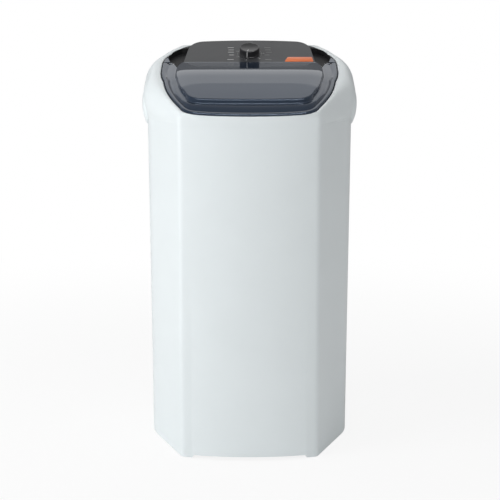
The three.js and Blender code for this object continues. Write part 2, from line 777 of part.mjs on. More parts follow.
/** The smoked lid: a rim that lies in the well, a raised middle, and two hinge arms. */
function lid() {
  const rimDrop = wellDepth + lidProud - lidSeal - gap;
  const shell = loft([
    ...raisedRings(lidWall).reverse(),
    lidRing(wellOutline, lidGap + lidWall + 4, lidSurface, lidWall),
    lidRing(wellOutline, lidGap + lidWall, lidSurface, lidWall + 4),
    lidRing(wellOutline, lidGap + lidWall, lidSurface, rimDrop),
    lidRing(wellOutline, lidGap, lidSurface, rimDrop),
    lidRing(wellOutline, lidGap, lidSurface, 5),
    lidRing(wellOutline, lidGap + 1.5, lidSurface, 1.5),
    lidRing(wellOutline, lidGap + 5, lidSurface, 0),
    ...raisedRings(0),
  ]);
  const behind = allBehind(lidRearY);
  const knuckles = hingeSides.map((side) => hingeKnuckle(side));
  const bores = hingeSides.map((side) => crossPin(side, hingeWidth, hingePinRadius + hingePinGap));
  const slots = hingeSides.flatMap((side) => earSpans(side, hingeEarGap).map(([x0, x1]) =>
    block(x0, x1, hingeY - hingeBoss - 3, lidRearY + 1, hingeHeight - hingeBoss, hingeHeight + 30)));
  const striker = onCover(block(switchX - 2.2, switchX + 2.6, -4, 4, ledgeTop + switchStroke + gap, -1));
  return cut(joined([cut(shell, [behind, ...slots]), ...knuckles, striker]), bores);
}

/** The seal that the lid's rim presses on the well's ledge. */
function lidSealRing() {
  const drop = wellDepth - gap;
  const outer = lidGap + 0.5;
  const ring = ringWall([
    lidRing(wellOutline, outer, coverHeightAt, drop),
    lidRing(wellOutline, outer, coverHeightAt, drop - lidSeal + gap),
    lidRing(wellOutline, outer + 4, coverHeightAt, drop - lidSeal + gap),
    lidRing(wellOutline, outer + 5, coverHeightAt, drop),
  ]);
  return cut(ring, [allBehind(sealRearY)]);
}

// ---------------------------------------------------------------- control panel

const coverHeightAt = (y) => coverHeight(0, y);
const sealRearY = hingeY - 24;

/** Puts a shape drawn flat, x across and y up the slope, on the panel's slope. */
const onPanel = (geometry) => geometry.rotateX(panelSlope).translate(0, panelFrontY, panelFrontHeight);

/** The panel's outline in its own plane, moved inwards by a distance. */
function panelOutline(setback = 0) {
  const [low, high, top] = [panelHalfWidth - setback, panelTopHalfWidth - setback, panelLength - setback];
  const r = panelCorner - setback;
  const right = new THREE.Path();
  right.moveTo(low, setback);
  right.lineTo(high + 2, top - r);
  right.quadraticCurveTo(high, top, high - r, top + 0.5);
  right.quadraticCurveTo(high / 2, top + panelCrown, 0, top + panelCrown);
  const half = right.getPoints(5);
  const left = half.slice(0, -1).reverse().map(({ x, y }) => new THREE.Vector2(-x, y));
  return [...half, ...left];
}

/** The fascia plate with the hole for the timer's spindle. */
function controlFascia() {
  const plate = onPanel(prism(panelOutline(), -fasciaThickness, 0));
  const hole = onPanel(post(spindleRadius + spindleGap, -9, 9, 16, spindleRadius + spindleGap, 0, knobAlong));
  return cut(plate, [hole]);
}

/** The dark moulding behind the lid: a hollow wedge with a pocket at each side for the hinges. */
function controlHousing() {
  const top = -fasciaThickness - gap;
  const wedge = onPanel(prism(panelOutline(), -panelDepth, top));
  const hollow = onPanel(prism(panelOutline(panelWall), -2 * panelDepth, top - panelWall));
  const wellFit = inset(wellOutline, gap);
  const wings = ringSlab(wellFit, wellDepth - gap, 0);
  const front = block(...acrossTop, -beyondBody, panelFrontY, ...upTop);
  const pockets = hingeSides.map((side) => pocketTool(side));
  const bore = spindleRadius + spindleGap;
  const hole = onPanel(post(bore, top - 9, 9, 16, bore, 0, knobAlong));
  const limit = ringSlab(wellFit, wellDepth - gap, -120);
  const seat = onPanel(prism(panelOutline(-gap), top, 60));
  const lean = onPanel(block(-panelHalfWidth - 5, panelHalfWidth + 5, -90, 0, -panelDepth, 20));
  const body = joined([wedge, wings]).intersect(asSolid(limit));
  return cut(body, [hollow, front, lean, seat, ...pockets, hole]);
}

/** A slab over a plan outline between two depths below the cover's surface. */
const ringSlab = (points, low, high) => loft([
  atHeights(points, (x, y) => coverHeight(x, y) - low),
  atHeights(points, (x, y) => coverHeight(x, y) - high),
]);

/** The hollow beside the panel in which a hinge bracket stands, open at the front. */
function pocketTool(side) {
  const [inner, outer] = [panelHalfWidth + 5, hingeX + 14];
  const shape = [
    new THREE.Vector2(side * inner, panelFrontY - 5),
    new THREE.Vector2(side * outer, panelFrontY - 5),
    new THREE.Vector2(side * (outer - 1), panelFrontY + 22),
    new THREE.Vector2(side * (outer - 12), panelFrontY + 64),
    new THREE.Vector2(side * (inner - 4), panelFrontY + 96),
  ];
  const points = side > 0 ? shape : shape.reverse();
  return ringSlab(points, pocketDepth, -40);
}

/** A steel bracket: a foot on the pocket's floor and two ears that hold the hinge pin. */
function hingeBracket(side) {
  const floorAt = (y) => coverHeightAt(y) - pocketDepth + gap;
  const [footFront, footRear] = [panelFrontY + 4, panelFrontY + 18];
  const low = hingeHeight - hingeBoss;
  const profile = [
    [hingeY - hingeBoss, low], [panelFrontY - 3, low], [panelFrontY - 1, floorAt(panelFrontY)],
    [footRear, floorAt(footRear)], [footRear, floorAt(footRear) + 3], [panelFrontY, floorAt(panelFrontY) + 5],
    [hingeY + 2, hingeHeight + hingeBoss], [hingeY - hingeBoss + 2, hingeHeight + hingeBoss],
    [hingeY - hingeBoss, hingeHeight + hingeBoss - 2],
  ];
  const spans = earSpans(side);
  const ears = spans.map(([x0, x1]) => sideways(profile, x0, x1));
  const foot = sideways([
    [footFront, floorAt(footFront)], [footRear, floorAt(footRear)],
    [footRear, floorAt(footRear) + 2.5], [footFront, floorAt(footFront) + 2.5],
  ], spans[0][0], spans[1][1]);
  return cut(joined([...ears, foot]), [crossPin(side, hingeWidth * 2, hingePinRadius + gap)]);
}

/** A side view of [y, z] pairs, extruded along X between two places. */
function sideways(profile, x0, x1) {
  const shape = new THREE.Shape(profile.map(([y, z]) => new THREE.Vector2(y, z)));
  const geometry = new THREE.ExtrudeGeometry(shape, { depth: x1 - x0, bevelEnabled: false });
  return outward(geometry.rotateX(Math.PI / 2).rotateZ(Math.PI / 2).translate(x0, 0, 0));
}

const hingePin = (side) => crossPin(side, hingeWidth / 2 + hingeEarGap + hingeEar + 1.5, hingePinRadius);

/** The timer's case, hung under the fascia's hole. */
function timerBody() {
  const top = -fasciaThickness - panelWall - 2 * gap;
  const half = timerSize / 2;
  const box = block(-half, half, knobAlong - half, knobAlong + half, top - timerDepth, top);
  const bore = post(spindleRadius + spindleGap, top - timerDepth / 2, top + 9, 16,
    spindleRadius + spindleGap, 0, knobAlong);
  const terminals = [-18, -6, 6, 18].map((x) =>
    block(x - 3, x + 3, knobAlong - 4, knobAlong + 4, top - timerDepth - 7, top - timerDepth + 1));
  return cut(joined([box, ...terminals].map(onPanel)), [onPanel(bore)]);
}

/** The timer's spindle, from inside its case up into the knob. */
const timerSpindle = () => onPanel(post(spindleRadius, -fasciaThickness - timerDepth / 2, knobHeight - 6, 16,
  spindleRadius, 0, knobAlong));

/** The knob: a skirt, a fluted grip and a pointer rib down its side. */
function timerKnob() {
  const base = knobSeat;
  const body = turned([
    [spindleRadius + gap, base], [knobRadius, base], [knobRadius, base + 3], [knobRadius - 1.5, base + 5],
    [knobRadius - 3, knobHeight - 2], [knobRadius - 5, knobHeight], [knobRadius - 8, knobHeight - 0.8],
    [0, knobHeight - 0.8], [0, knobHeight - 5], [spindleRadius + gap, knobHeight - 5],
  ], 32);
  const rib = block(-1.4, 1.4, -knobRadius + 0.6, -knobRadius + 7, base + 3, knobHeight - 1.5)
    .rotateZ(pointerTurn);
  return joined([body, rib].map((part) => onPanel(weld(part).translate(0, knobAlong, 0))));
}

// ---------------------------------------------------------------- lid switch

/** The switch that stops the motor when the lid is lifted, under the ledge. */
function lidSwitchBody() {
  const top = ledgeUnder - gap;
  const box = block(switchX - 11, switchX + 7, -13, 13, top - switchBodyDepth, top);
  const bore = post(plungerRadius + plungerGap, top - switchBodyDepth + 6, top + 4, 12,
    plungerRadius + plungerGap, switchX, 0);
  const tabs = [-7, 7].map((y) =>
    block(switchX - 4, switchX - 1, y - 2, y + 2, top - switchBodyDepth - 6, top - switchBodyDepth + 1));
  return cut(joined([box, ...tabs].map(onCover)), [onCover(bore)]);
}

/** The plunger, from inside the switch up through the ledge to the lid's striker. */
const lidSwitchPlunger = () => onCover(post(plungerRadius, ledgeUnder - switchBodyDepth + 6 + switchStroke,
  ledgeTop + switchStroke, 12, plungerRadius, switchX, 0));

// ---------------------------------------------------------------- basket

/** The basket's wall: a rolled steel drum with staggered rows of drain holes and a turned-in foot. */
function spinBasket() {
  const inner = basketRadius - basketWall;
  const foot = basketFloor + basketWall + gap;
  const drum = turned([
    [inner - 12, foot], [inner, foot + 14], [inner, basketTop], [basketRadius, basketTop],
    [basketRadius, foot + 13], [basketRadius - 13, foot - basketWall], [inner - 12, foot - basketWall],
  ], basketSides);
  const rowPitch = (basketTop - basketFloor - 90) / (holeRows - 1);
  const drill = new THREE.CylinderGeometry(holeWidth, holeWidth, 3 * basketWall + 8, 4)
    .rotateZ(Math.PI / 2).scale(1, 1, holeHeight / holeWidth).translate(basketRadius, 0, 0);
  const facet = (2 * Math.PI) / basketSides;
  const drills = Array.from({ length: holeRows }, (_, row) => {
    const height = basketFloor + 45 + row * rowPitch;
    const start = facet / 2 + (row % 2) * facet;
    return around(weld(drill).translate(0, 0, height), holesPerRow, start);
  }).flat();
  return cut(drum, [mergeGeometries(drills)]);
}

/** The pressed floor that is clamped to the hub and lies inside the wall's foot. */
const basketFloorPlate = () => turned([
  [hubBossRadius + gap, basketFloor + 6], [60, basketFloor + 6], [90, basketFloor + basketWall],
  [basketRadius - basketWall - 13, basketFloor + basketWall], [basketRadius - basketWall - 13, basketFloor],
  [90, basketFloor], [60, basketFloor + 4], [hubBossRadius + gap, basketFloor + 4],
], basketSides);

/** The liquid-filled ring that steadies the basket, clipped over its top edge. */
function balanceRing() {
  const [low, high] = [basketTop + gap, basketTop + balanceHeight];
  const wall = basketRadius;
  return turned([
    [mouthRadius + 4, low], [wall + gap, low], [wall + gap, low - 4], [wall + 3, low - 4],
    [wall + 3, high - 6], [wall - 3, high], [mouthRadius + 8, high], [mouthRadius, high - 7],
    [mouthRadius, low + 5],
  ], basketSides);
}

/** The cast hub that carries the basket's floor on the shaft. */
const basketHub = () => turned([
  [shaftRadius + gap, basketFloor - 12], [hubRadius - 12, basketFloor - 12], [hubRadius, basketFloor - 6],
  [hubRadius, basketFloor + 4 - gap], [hubBossRadius, basketFloor + 4 - gap],
  [hubBossRadius, basketFloor + 20], [shaftRadius + gap, basketFloor + 20],
], 24);

/** The capped nut that clamps the basket to its shaft. */
function basketNut() {
  const low = basketFloor + 20 + gap;
  const cap = joined([post(15, low, low + 9, 6), post(12, low + 8, low + 15, 16, 8)]);
  return cut(cap, [post(shaftRadius + gap, low - 1, low + 10, 16)]);
}

const driveShaft = () => post(shaftRadius, fanHeight - 4, basketFloor + 20 + 9, 24);

// ---------------------------------------------------------------- drive

const plateTop = motorPlateHeight + motorPlateThickness;

/** The three-armed plate that hangs the motor on its springs. */
function motorPlate() {
  const [low, high] = [motorPlateHeight, plateTop];
  const arms = around(block(0, springCircle, -24, 24, low, high), 3, Math.PI / 2);
  const ends = springPlaces.map(([x, y]) => post(springRadius + 8, low, high, 12, springRadius + 8, x, y));
  const pivotPad = post(18, low, high, 12, 18, ...brakePivot);
  const holes = [post(shaftRadius + 5, low - 1, high + 1), ...around(
    post(9, low - 1, high + 1, 8, 9, 92, 0), 3, Math.PI / 2)];
  return cut(joined([post(84, low, high, 24), ...arms, ...ends, pivotPad]), holes);
}

/** A spring between its cup on the floor pan and the motor plate. */
function suspensionSpring([x, y]) {
  const low = springSeatFloor + gap + springWire;
  const high = motorPlateHeight - gap - springWire;
  const coil = new THREE.Curve();
  coil.getPoint = (t, target = new THREE.Vector3()) => {
    const angle = t * springTurns * 2 * Math.PI;
    target.set(springRadius * Math.cos(angle), springRadius * Math.sin(angle), low + t * (high - low));
    return target.add(new THREE.Vector3(x, y, 0));
  };
  return rod(coil, springWire, springTurns * 8, 5);
}

/** The bell-shaped housing that holds the shaft's two bearings above the brake. */
function bearingHousing() {
  const base = plateTop + gap;
  const fit = bearingRadius + gap;
  const bell = turned([
    [64, base], [76, base], [76, base + 6], [70, base + 8], [66, bellTop - 8], [56, bellTop],
    [27, bellTop + 4], [27, tubeTop], [fit, tubeTop], [fit, tubeTop - bearingHeight - gap],
    [15, tubeTop - bearingHeight - gap],
    [15, bellTop + bearingHeight + 3], [fit, bellTop + bearingHeight + 3], [fit, bellTop + 1],
    [14, bellTop + 1], [14, bellTop - 4], [52, bellTop - 7], [60, bellTop - 12], [64, base + 10],
  ], 20);
  return cut(bell, around(block(40, 90, -30, 30, base + 12, bellTop - 14), 3, Math.PI / 6));
}

const bearing = (low) => turned([
  [shaftRadius + gap, low], [bearingRadius, low], [bearingRadius, low + bearingHeight - gap],
  [shaftRadius + gap, low + bearingHeight - gap],
], 20);

/** The rubber bellows between the tub's centre hole and the bearing tube. */
function shaftSeal() {
  const rim = tubFloor + 14;
  const hole = sealHoleRadius - gap;
  const neck = 27 + gap;
  return turned([
    [hole + 4, rim + gap], [hole, rim + gap], [hole, rim - 8], [45, rim - 34], [38, rim - 18], [31, rim - 48],
    [neck, rim - 48], [neck, rim - 40], [29.5, rim - 40], [37.5, rim - 10], [45.5, rim - 26],
    [hole - 2, rim - 6], [hole - 2, rim + 2.3], [hole + 4, rim + 2.3],
  ], 20);
}

/** The motor's case: a cup with a flange under the plate, cooling slots and a lower bearing seat. */
function motorHousing() {
  const top = motorPlateHeight - gap;
  const r = motorRadius;
  const fit = bearingRadius + gap;
  const cup = turned([
    [r - 5, top], [r + 9, top], [r + 9, top - 5], [r, top - 5], [r, motorLow + 10], [r - 8, motorLow],
    [fit + 5, motorLow], [fit + 5, motorLow - 5], [13, motorLow - 5], [13, motorLow - 2], [fit, motorLow - 2],
    [fit, motorLow + 12], [fit + 5, motorLow + 12], [fit + 5, motorLow + 5], [r - 10, motorLow + 5],
    [r - 5, motorLow + 12],
  ], 20);
  return cut(cup, around(block(r - 12, r + 3, -7, 7, top - 18, top - 9), 6));
}

const motorStator = () => turned([
  [rotorRadius + 1, statorLow], [motorRadius - 5 - gap, statorLow], [motorRadius - 5 - gap, statorHigh],
  [rotorRadius + 1, statorHigh],
], 20);

const motorRotor = () => turned([
  [shaftRadius + gap, statorLow + 2], [rotorRadius, statorLow + 2], [rotorRadius, statorHigh - 2],
  [shaftRadius + gap, statorHigh - 2],
], 24);

/** The fan below the motor. */
function coolingFan() {
  const hub = turned([
    [shaftRadius + gap, fanHeight], [15, fanHeight], [15, fanHeight + 12],
    [shaftRadius + gap, fanHeight + 12],
  ], 20);
  const disc = turned([[14, fanHeight], [50, fanHeight], [50, fanHeight + 1.6], [14, fanHeight + 1.6]], 20);
  const blades = around(block(13, 49, -0.9, 0.9, fanHeight + 1, fanHeight + 11), 7);
  return joined([hub, disc, ...blades]);
}

const brakeDrum = () => turned([
  [shaftRadius + gap, drumLow], [drumRadius, drumLow], [drumRadius, drumLow + drumHeight],
  [drumRadius - 4, drumLow + drumHeight], [drumRadius - 4, drumLow + 6], [16, drumLow + 6],
  [16, drumLow + drumHeight - 4], [shaftRadius + gap, drumLow + drumHeight - 4],
], 24);

/** The brake lever: a strap from its pivot past the drum, bent in at the shoe. */
function brakeLever() {
  const [low, high] = [leverHeight - 5, leverHeight + 5];
  const [px, py] = brakePivot;
  const boss = post(9, low, high, 20, 9, px, py);
  const strap = block(-leverReach, px, py - 3, py + 3, low, high);
  const arm = block(-7, 7, py, -(drumRadius + shoeGap + shoeThickness + gap), low, high);
  const eye = post(2.5, low - 1, high + 1, 10, 2.5, -leverReach + 6, py);
  return cut(joined([boss, strap, arm]), [post(pivotRadius + hingePinGap, low - 1, high + 1, 20,
    pivotRadius + hingePinGap, px, py), eye]);
}

/** The flat pad that the lever presses on the drum. */
const brakeShoe = () => block(-shoeHalfWidth, shoeHalfWidth, -(drumRadius + shoeGap + shoeThickness),
  -(drumRadius + shoeGap), leverHeight - 10, leverHeight + 10);

const brakePivotPin = () => joined([
  post(pivotRadius, plateTop + gap, leverHeight + 9, 20, pivotRadius, ...brakePivot),
  post(8, plateTop + gap, leverHeight - 5 - gap, 20, 8, ...brakePivot),
]);

/** The block that anchors the brake cable's sheath on the motor plate. */
function cableAnchor() {
  const [x, y] = cableEnd;
  const body = block(x - 7, x + 7, y + 14, y + 26, plateTop + gap, leverHeight + 8);
  const bore = post(cableRadius + 1, 0, 60, 12).rotateX(-Math.PI / 2).translate(x, y, leverHeight);
  return cut(body, [bore]);
}

/** The brake cable's sheath, held at the plate and under the cover beside the hinge. */
function brakeCable() {
  const [x, y] = cableEnd;
  const side = -(insideHalfWidth - cableRadius - 3);
  const top = seamHeight;
  return rod([
    new THREE.Vector3(x, y + 12, leverHeight),
    new THREE.Vector3(x, y + 18, leverHeight),
    new THREE.Vector3(x, y + 26, leverHeight),
    new THREE.Vector3(x, y + 34, leverHeight),
    new THREE.Vector3(x - 30, y + 70, leverHeight + 20),
    new THREE.Vector3(-200, cableY, 262),
    new THREE.Vector3(side + 8, cableY, 380),
    new THREE.Vector3(side + 1, cableY, 560),
    new THREE.Vector3(side, cableY, top - 59),
    new THREE.Vector3(side, cableY, top + 13),
    new THREE.Vector3(side + 8, cableY + 24, top + 61),
    new THREE.Vector3(side + 14, cableY + 52, top + 96),
  ], cableRadius, 34, 6);
}

/** The wiring from the timer down the rear of the cabinet to the motor. */
function wiringHarness() {
  const rear = rearInside - harnessRadius - gap;
  const top = seamHeight;
  return rod([
    new THREE.Vector3(20, 172, top + 96),
    new THREE.Vector3(40, 200, top + 71),
    new THREE.Vector3(harnessX, rear - 26, top + 53),
    new THREE.Vector3(harnessX, rear - 6, top + 33),
    new THREE.Vector3(harnessX, rear, top + 13),
    new THREE.Vector3(harnessX, rear, top - 14),
    new THREE.Vector3(harnessX, rear - 2, top - 79),
    new THREE.Vector3(harnessX, rear - 6, 560),
    new THREE.Vector3(harnessX, rear - 12, 360),
    new THREE.Vector3(harnessX + 10, 190, 230),
    new THREE.Vector3(84, 120, 128),
    new THREE.Vector3(56, 62, 110),
  ], harnessRadius, 34, 6);
}

const capacitor = () => turned([
  [0, springSeatFloor + gap], [21, springSeatFloor + gap], [22, springSeatFloor + 4],
  [22, springSeatFloor + 78],
  [20, springSeatFloor + 81], [0, springSeatFloor + 81],
], 24, ...capacitorPlace);

const capacitorClip = () => turned([
  [22 + gap, springSeatFloor + gap], [30, springSeatFloor + gap], [30, springSeatFloor + 2.3],
  [24, springSeatFloor + 3], [24, springSeatFloor + 22], [22 + gap, springSeatFloor + 22],
], 24, ...capacitorPlace);

piece('cabinet', cabinet(), whitePlastic());
piece('base_plate', basePlate(), galvanized());
padPlaces.forEach(([x, y], i) => piece(`foot_pad_${i + 1}`, footPad(x, y), blackRubber()));
piece('rear_cover', rearCover(), whitePlastic());
piece('drain_pipe', drainPipe(), darkPlastic());
piece('cord_gland', cordGland(), blackRubber());
piece('outer_tub', outerTub(), tubPlastic());
piece('tub_collar', tubCollar(), tubPlastic());
piece('top_cover', topCover(), whitePlastic());
piece('lid', lid(), smokedPlastic());
piece('lid_seal', lidSealRing(), blackRubber());
hingeSides.forEach((side) => {
  const name = side < 0 ? 'left' : 'right';
  piece(`lid_hinge_bracket_${name}`, hingeBracket(side), steel());
  piece(`lid_hinge_pin_${name}`, hingePin(side), steel());
});
piece('control_housing', controlHousing(), darkPlastic());
piece('control_fascia', controlFascia(), panelPlastic());
piece('timer_body', timerBody(), whitePlastic());
piece('timer_spindle', timerSpindle(), steel());
piece('timer_knob', timerKnob(), darkPlastic());
piece('lid_switch', lidSwitchBody(), darkPlastic());
piece('lid_switch_plunger', lidSwitchPlunger(), whitePlastic());
piece('spin_basket', spinBasket(), stainless());
piece('basket_floor', basketFloorPlate(), stainless());
piece('balance_ring', balanceRing(), whitePlastic());
piece('basket_hub', basketHub(), castAluminium());
piece('basket_nut', basketNut(), steel());
piece('drive_shaft', driveShaft(), steel());
piece('motor_plate', motorPlate(), galvanized());
springPlaces.forEach((place, i) => piece(`suspension_spring_${i + 1}`, suspensionSpring(place), steel()));
piece('bearing_housing', bearingHousing(), castAluminium());
piece('shaft_bearing_lower', bearing(bellTop + 1 + gap), steel());
piece('shaft_bearing_upper', bearing(tubeTop - bearingHeight), steel());
piece('motor_bearing', bearing(motorLow - 2 + gap), steel());
piece('shaft_seal', shaftSeal(), blackRubber());
piece('motor_housing', motorHousing(), enamel());
piece('motor_stator', motorStator(), steel());
piece('motor_rotor', motorRotor(), steel());
piece('cooling_fan', coolingFan(), darkPlastic());
piece('brake_drum', brakeDrum(), castAluminium());
piece('brake_lever', brakeLever(), galvanized());
piece('brake_shoe', brakeShoe(), brakeLining());
piece('brake_pivot_pin', brakePivotPin(), steel());
piece('cable_anchor', cableAnchor(), darkPlastic());
piece('brake_cable', brakeCable(), blackRubber());
piece('wiring_harness', wiringHarness(), blackRubber());
piece('capacitor', capacitor(), castAluminium());
piece('capacitor_clip', capacitorClip(), galvanized());

export default dryer;
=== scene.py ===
"""A top-loading spin dryer, built as separate moulded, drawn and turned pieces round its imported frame."""

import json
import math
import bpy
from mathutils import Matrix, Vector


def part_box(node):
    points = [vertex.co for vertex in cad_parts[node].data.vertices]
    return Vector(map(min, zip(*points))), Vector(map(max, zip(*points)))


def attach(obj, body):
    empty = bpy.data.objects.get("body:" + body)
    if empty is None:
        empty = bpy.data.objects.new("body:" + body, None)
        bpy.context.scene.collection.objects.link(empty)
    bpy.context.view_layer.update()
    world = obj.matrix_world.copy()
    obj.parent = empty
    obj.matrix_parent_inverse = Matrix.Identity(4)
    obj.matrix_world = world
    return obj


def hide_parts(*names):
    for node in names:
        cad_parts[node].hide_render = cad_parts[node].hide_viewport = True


bl_info = {
    "name": "Spin Dryer",
    "version": (1, 0, 0),
    "blender": (4, 5, 0),
    "location": "3D View > Sidebar > Dryer",
    "description": "Builds a top-loading spin dryer with a smoked lid, a timer knob and a perforated basket",
    "category": "Object",
}

import bmesh
import bpy
from bpy.props import FloatProperty, FloatVectorProperty, IntProperty, PointerProperty
from mathutils import Matrix, Vector

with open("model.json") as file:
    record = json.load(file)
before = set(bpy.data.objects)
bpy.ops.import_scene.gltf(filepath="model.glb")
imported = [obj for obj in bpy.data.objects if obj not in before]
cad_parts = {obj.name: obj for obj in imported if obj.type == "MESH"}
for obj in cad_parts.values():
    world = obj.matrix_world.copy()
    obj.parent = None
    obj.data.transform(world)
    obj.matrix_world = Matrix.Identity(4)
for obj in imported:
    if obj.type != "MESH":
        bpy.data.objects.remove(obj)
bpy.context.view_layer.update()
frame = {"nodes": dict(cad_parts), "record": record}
nodes = frame["nodes"]
body_of_node = {
    node: body
    for body, members in frame["record"]["behaviour"]["bodies"].items()
    for node in members
}
slot_of_node = {part["node"]: part["material_slot"] for part in frame["record"]["subparts"]}
finishes = {}

MM = 0.001


# ---------------------------------------------------------------- shader maths


class Wire:
    """The output of a shader node. Arithmetic on it adds Math nodes."""

    def __init__(self, owner, socket):
        self.owner = owner
        self.socket = socket

    def _maths(self, operation, *values):
        return self.owner.add("ShaderNodeMath", {"operation": operation}, dict(enumerate(values)))

    def __add__(self, other):
        return self._maths("ADD", self, other)

    def __radd__(self, other):
        return self._maths("ADD", other, self)

    def __sub__(self, other):
        return self._maths("SUBTRACT", self, other)

    def __rsub__(self, other):
        return self._maths("SUBTRACT", other, self)

    def __mul__(self, other):
        return self._maths("MULTIPLY", self, other)

    def __rmul__(self, other):
        return self._maths("MULTIPLY", other, self)

    def __pow__(self, other):
        return self._maths("POWER", self, other)

    def above(self, limit):
        return self._maths("GREATER_THAN", self, limit)

    def between(self, low, high):
        """0 below low, 1 above high and a smooth climb in the middle."""
        settings = {"interpolation_type": "SMOOTHSTEP"}
        return self.owner.add("ShaderNodeMapRange", settings, {"Value": self, 1: low, 2: high})


class NodeTree:
    """A shader's node tree in the making."""

    def __init__(self, tree):
        self.tree = tree

    def add(self, kind, settings=None, inputs=None, output=0):
        """Adds a node: its settings first, then the values or wires of its sockets."""
        node = self.tree.nodes.new(kind)
        for key, value in (settings or {}).items():
            setattr(node, key, value)
        for key, value in (inputs or {}).items():
            self.feed(node.inputs[key], value)
        return Wire(self, node.outputs[output])

    def feed(self, socket, value):
        if isinstance(value, Wire):
            self.tree.links.new(value.socket, socket)
        elif socket.type == "RGBA" and len(value) == 3:
            socket.default_value = (*value, 1)
        else:
            socket.default_value = value

    def place(self):
        """Where a point is on the object, in metres, or which way a ray of the world looks."""
        return self.add("ShaderNodeTexCoord", output="Object")

    def axes(self):
        split = self.add("ShaderNodeSeparateXYZ", inputs={0: self.place()}).socket.node
        return [Wire(self, socket) for socket in split.outputs]

    def stretched(self, scale, turn=(0, 0, 0)):
        inputs = {"Vector": self.place(), "Rotation": turn, "Scale": scale}
        return self.add("ShaderNodeMapping", inputs=inputs)

    def noise(self, scale, detail=3, roughness=0.5, vector=None, seed=0.0):
        inputs = {"Vector": vector or self.place(), "W": seed, "Scale": scale, "Detail": detail,
                  "Roughness": roughness}
        return self.add("ShaderNodeTexNoise", {"noise_dimensions": "4D"}, inputs)

    def cells(self, scale, output="Distance"):
        return self.add("ShaderNodeTexVoronoi", {}, {"Vector": self.place(), "Scale": scale}, output)

    def blend(self, factor, first, second):
        """Two colours mixed by a factor."""
        return self.add("ShaderNodeMix", {"data_type": "RGBA"}, {0: factor, 6: first, 7: second}, 2)


class Finish(NodeTree):
    """A material in the making, with one Principled surface."""

    def __init__(self, name, **constants):
        self.material = bpy.data.materials.new(name)
        self.material.use_nodes = True
        super().__init__(self.material.node_tree)
        self.surface = self.tree.nodes["Principled BSDF"]
        for socket, value in constants.items():
            self.surface.inputs[socket.replace("_", " ")].default_value = value

    def set(self, socket, value):
        """Feeds one of the surface's sockets."""
        self.feed(self.surface.inputs[socket], value)

    def bump(self, height, depth, under=None):
        """Relief of a real depth in metres, on top of another relief."""
        inputs = {"Height": height, "Distance": depth}
        if under:
            inputs["Normal"] = under
        wire = self.add("ShaderNodeBump", {}, inputs)
        self.set("Normal", wire)
        return wire


# ---------------------------------------------------------------- sizes and colours


def length(name, description, default):
    return FloatProperty(name=name, description=description, default=default, min=0.0, unit="LENGTH")


def tint(name, description, default):
    return FloatVectorProperty(name=name, description=description, default=default, min=0.0, max=1.0,
                               size=3, subtype="COLOR")


class DRYER_PG_colours(bpy.types.PropertyGroup):
    white: tint("Cabinet white", "Moulded cabinet and top cover", (0.80, 0.855, 0.87))
    smoke: tint("Lid smoke", "Tinted plastic of the lid", (0.017, 0.027, 0.046))
    panel: tint("Panel grey", "Control fascia", (0.050, 0.052, 0.056))
    dark: tint("Dark plastic", "Housing, knob and fittings", (0.024, 0.024, 0.026))
    tub: tint("Tub plastic", "Tub and collar", (0.62, 0.65, 0.66))
    ring: tint("Ring plastic", "Balance ring and small white mouldings", (0.74, 0.77, 0.78))
    rubber: tint("Rubber", "Pads, seals, gland and sheaths", (0.018, 0.018, 0.019))
    stainless: tint("Stainless steel", "Spin basket", (0.62, 0.62, 0.61))
    steel: tint("Steel", "Shafts, pins, brackets and springs", (0.52, 0.52, 0.53))
    zinc: tint("Zinc plating", "Floor pan, motor plate and lever", (0.50, 0.52, 0.53))
    cast: tint("Cast aluminium", "Hub, bearing housing and drum", (0.50, 0.51, 0.52))
    enamel: tint("Motor enamel", "Motor housing", (0.035, 0.045, 0.055))
    lining: tint("Brake lining", "Friction pad", (0.085, 0.065, 0.050))
    print_pale: tint("Pale print", "Dial figures and marks", (0.62, 0.62, 0.62))
    accent: tint("Accent strip", "Bare strip on the control panel", (0.82, 0.195, 0.060))
    floor: tint("Floor", "Studio floor", (0.90, 0.90, 0.90))


# ---------------------------------------------------------------- finishes


def scaled(colour, share):
    return tuple(min(1.0, channel * share) for channel in colour)


def moulded_plastic(name, colour, roughness, grain=2600, grain_depth=0.02 * MM, coat=0.0, shine=0.5):
    """Injection-moulded plastic: spark-eroded grain, shallow sink marks and a little handling dust."""
    plastic = Finish(name, IOR=1.49, Coat_Weight=coat, Coat_Roughness=0.12, Specular_IOR_Level=shine)
    cloud = plastic.noise(9, detail=4, seed=1.0)
    plastic.set("Base Color", plastic.blend(cloud, scaled(colour, 0.975), scaled(colour, 1.02)))
    sinks = plastic.noise(14, detail=1, seed=2.0)
    smears = plastic.noise(34, detail=5, roughness=0.65, seed=3.0)
    plastic.set("Roughness", roughness + (smears - 0.5) * 0.10)
    waves = plastic.bump(sinks, 0.5 * MM)
    plastic.bump(plastic.noise(grain, detail=2, seed=4.0), grain_depth, under=waves)
    return plastic.material


def smoked_plastic(name, colour):
    """Polished tinted plastic with flow swirls, wiped smears and hairline scratches."""
    smoke = Finish(name, IOR=1.56, Specular_Tint=(0.66, 0.79, 1.0, 1.0))
    swirl = smoke.noise(7, detail=5, roughness=0.6, seed=5.0)
    smoke.set("Base Color", smoke.blend(swirl, scaled(colour, 0.90), scaled(colour, 1.08)))
    wiped = smoke.noise(5, detail=6, roughness=0.7, vector=smoke.stretched((1, 5, 5)), seed=6.0)
    hairs = smoke.noise(60, detail=2, vector=smoke.stretched((1, 26, 26), (0, 0, 0.5)), seed=7.0)
    scratch = hairs.between(0.66, 0.72)
    smoke.set("Roughness", 0.055 + wiped.between(0.4, 0.75) * 0.06 + scratch * 0.08)
    smoke.bump(smoke.noise(11, detail=1, seed=8.0) + scratch * 0.02, 0.35 * MM)
    return smoke.material


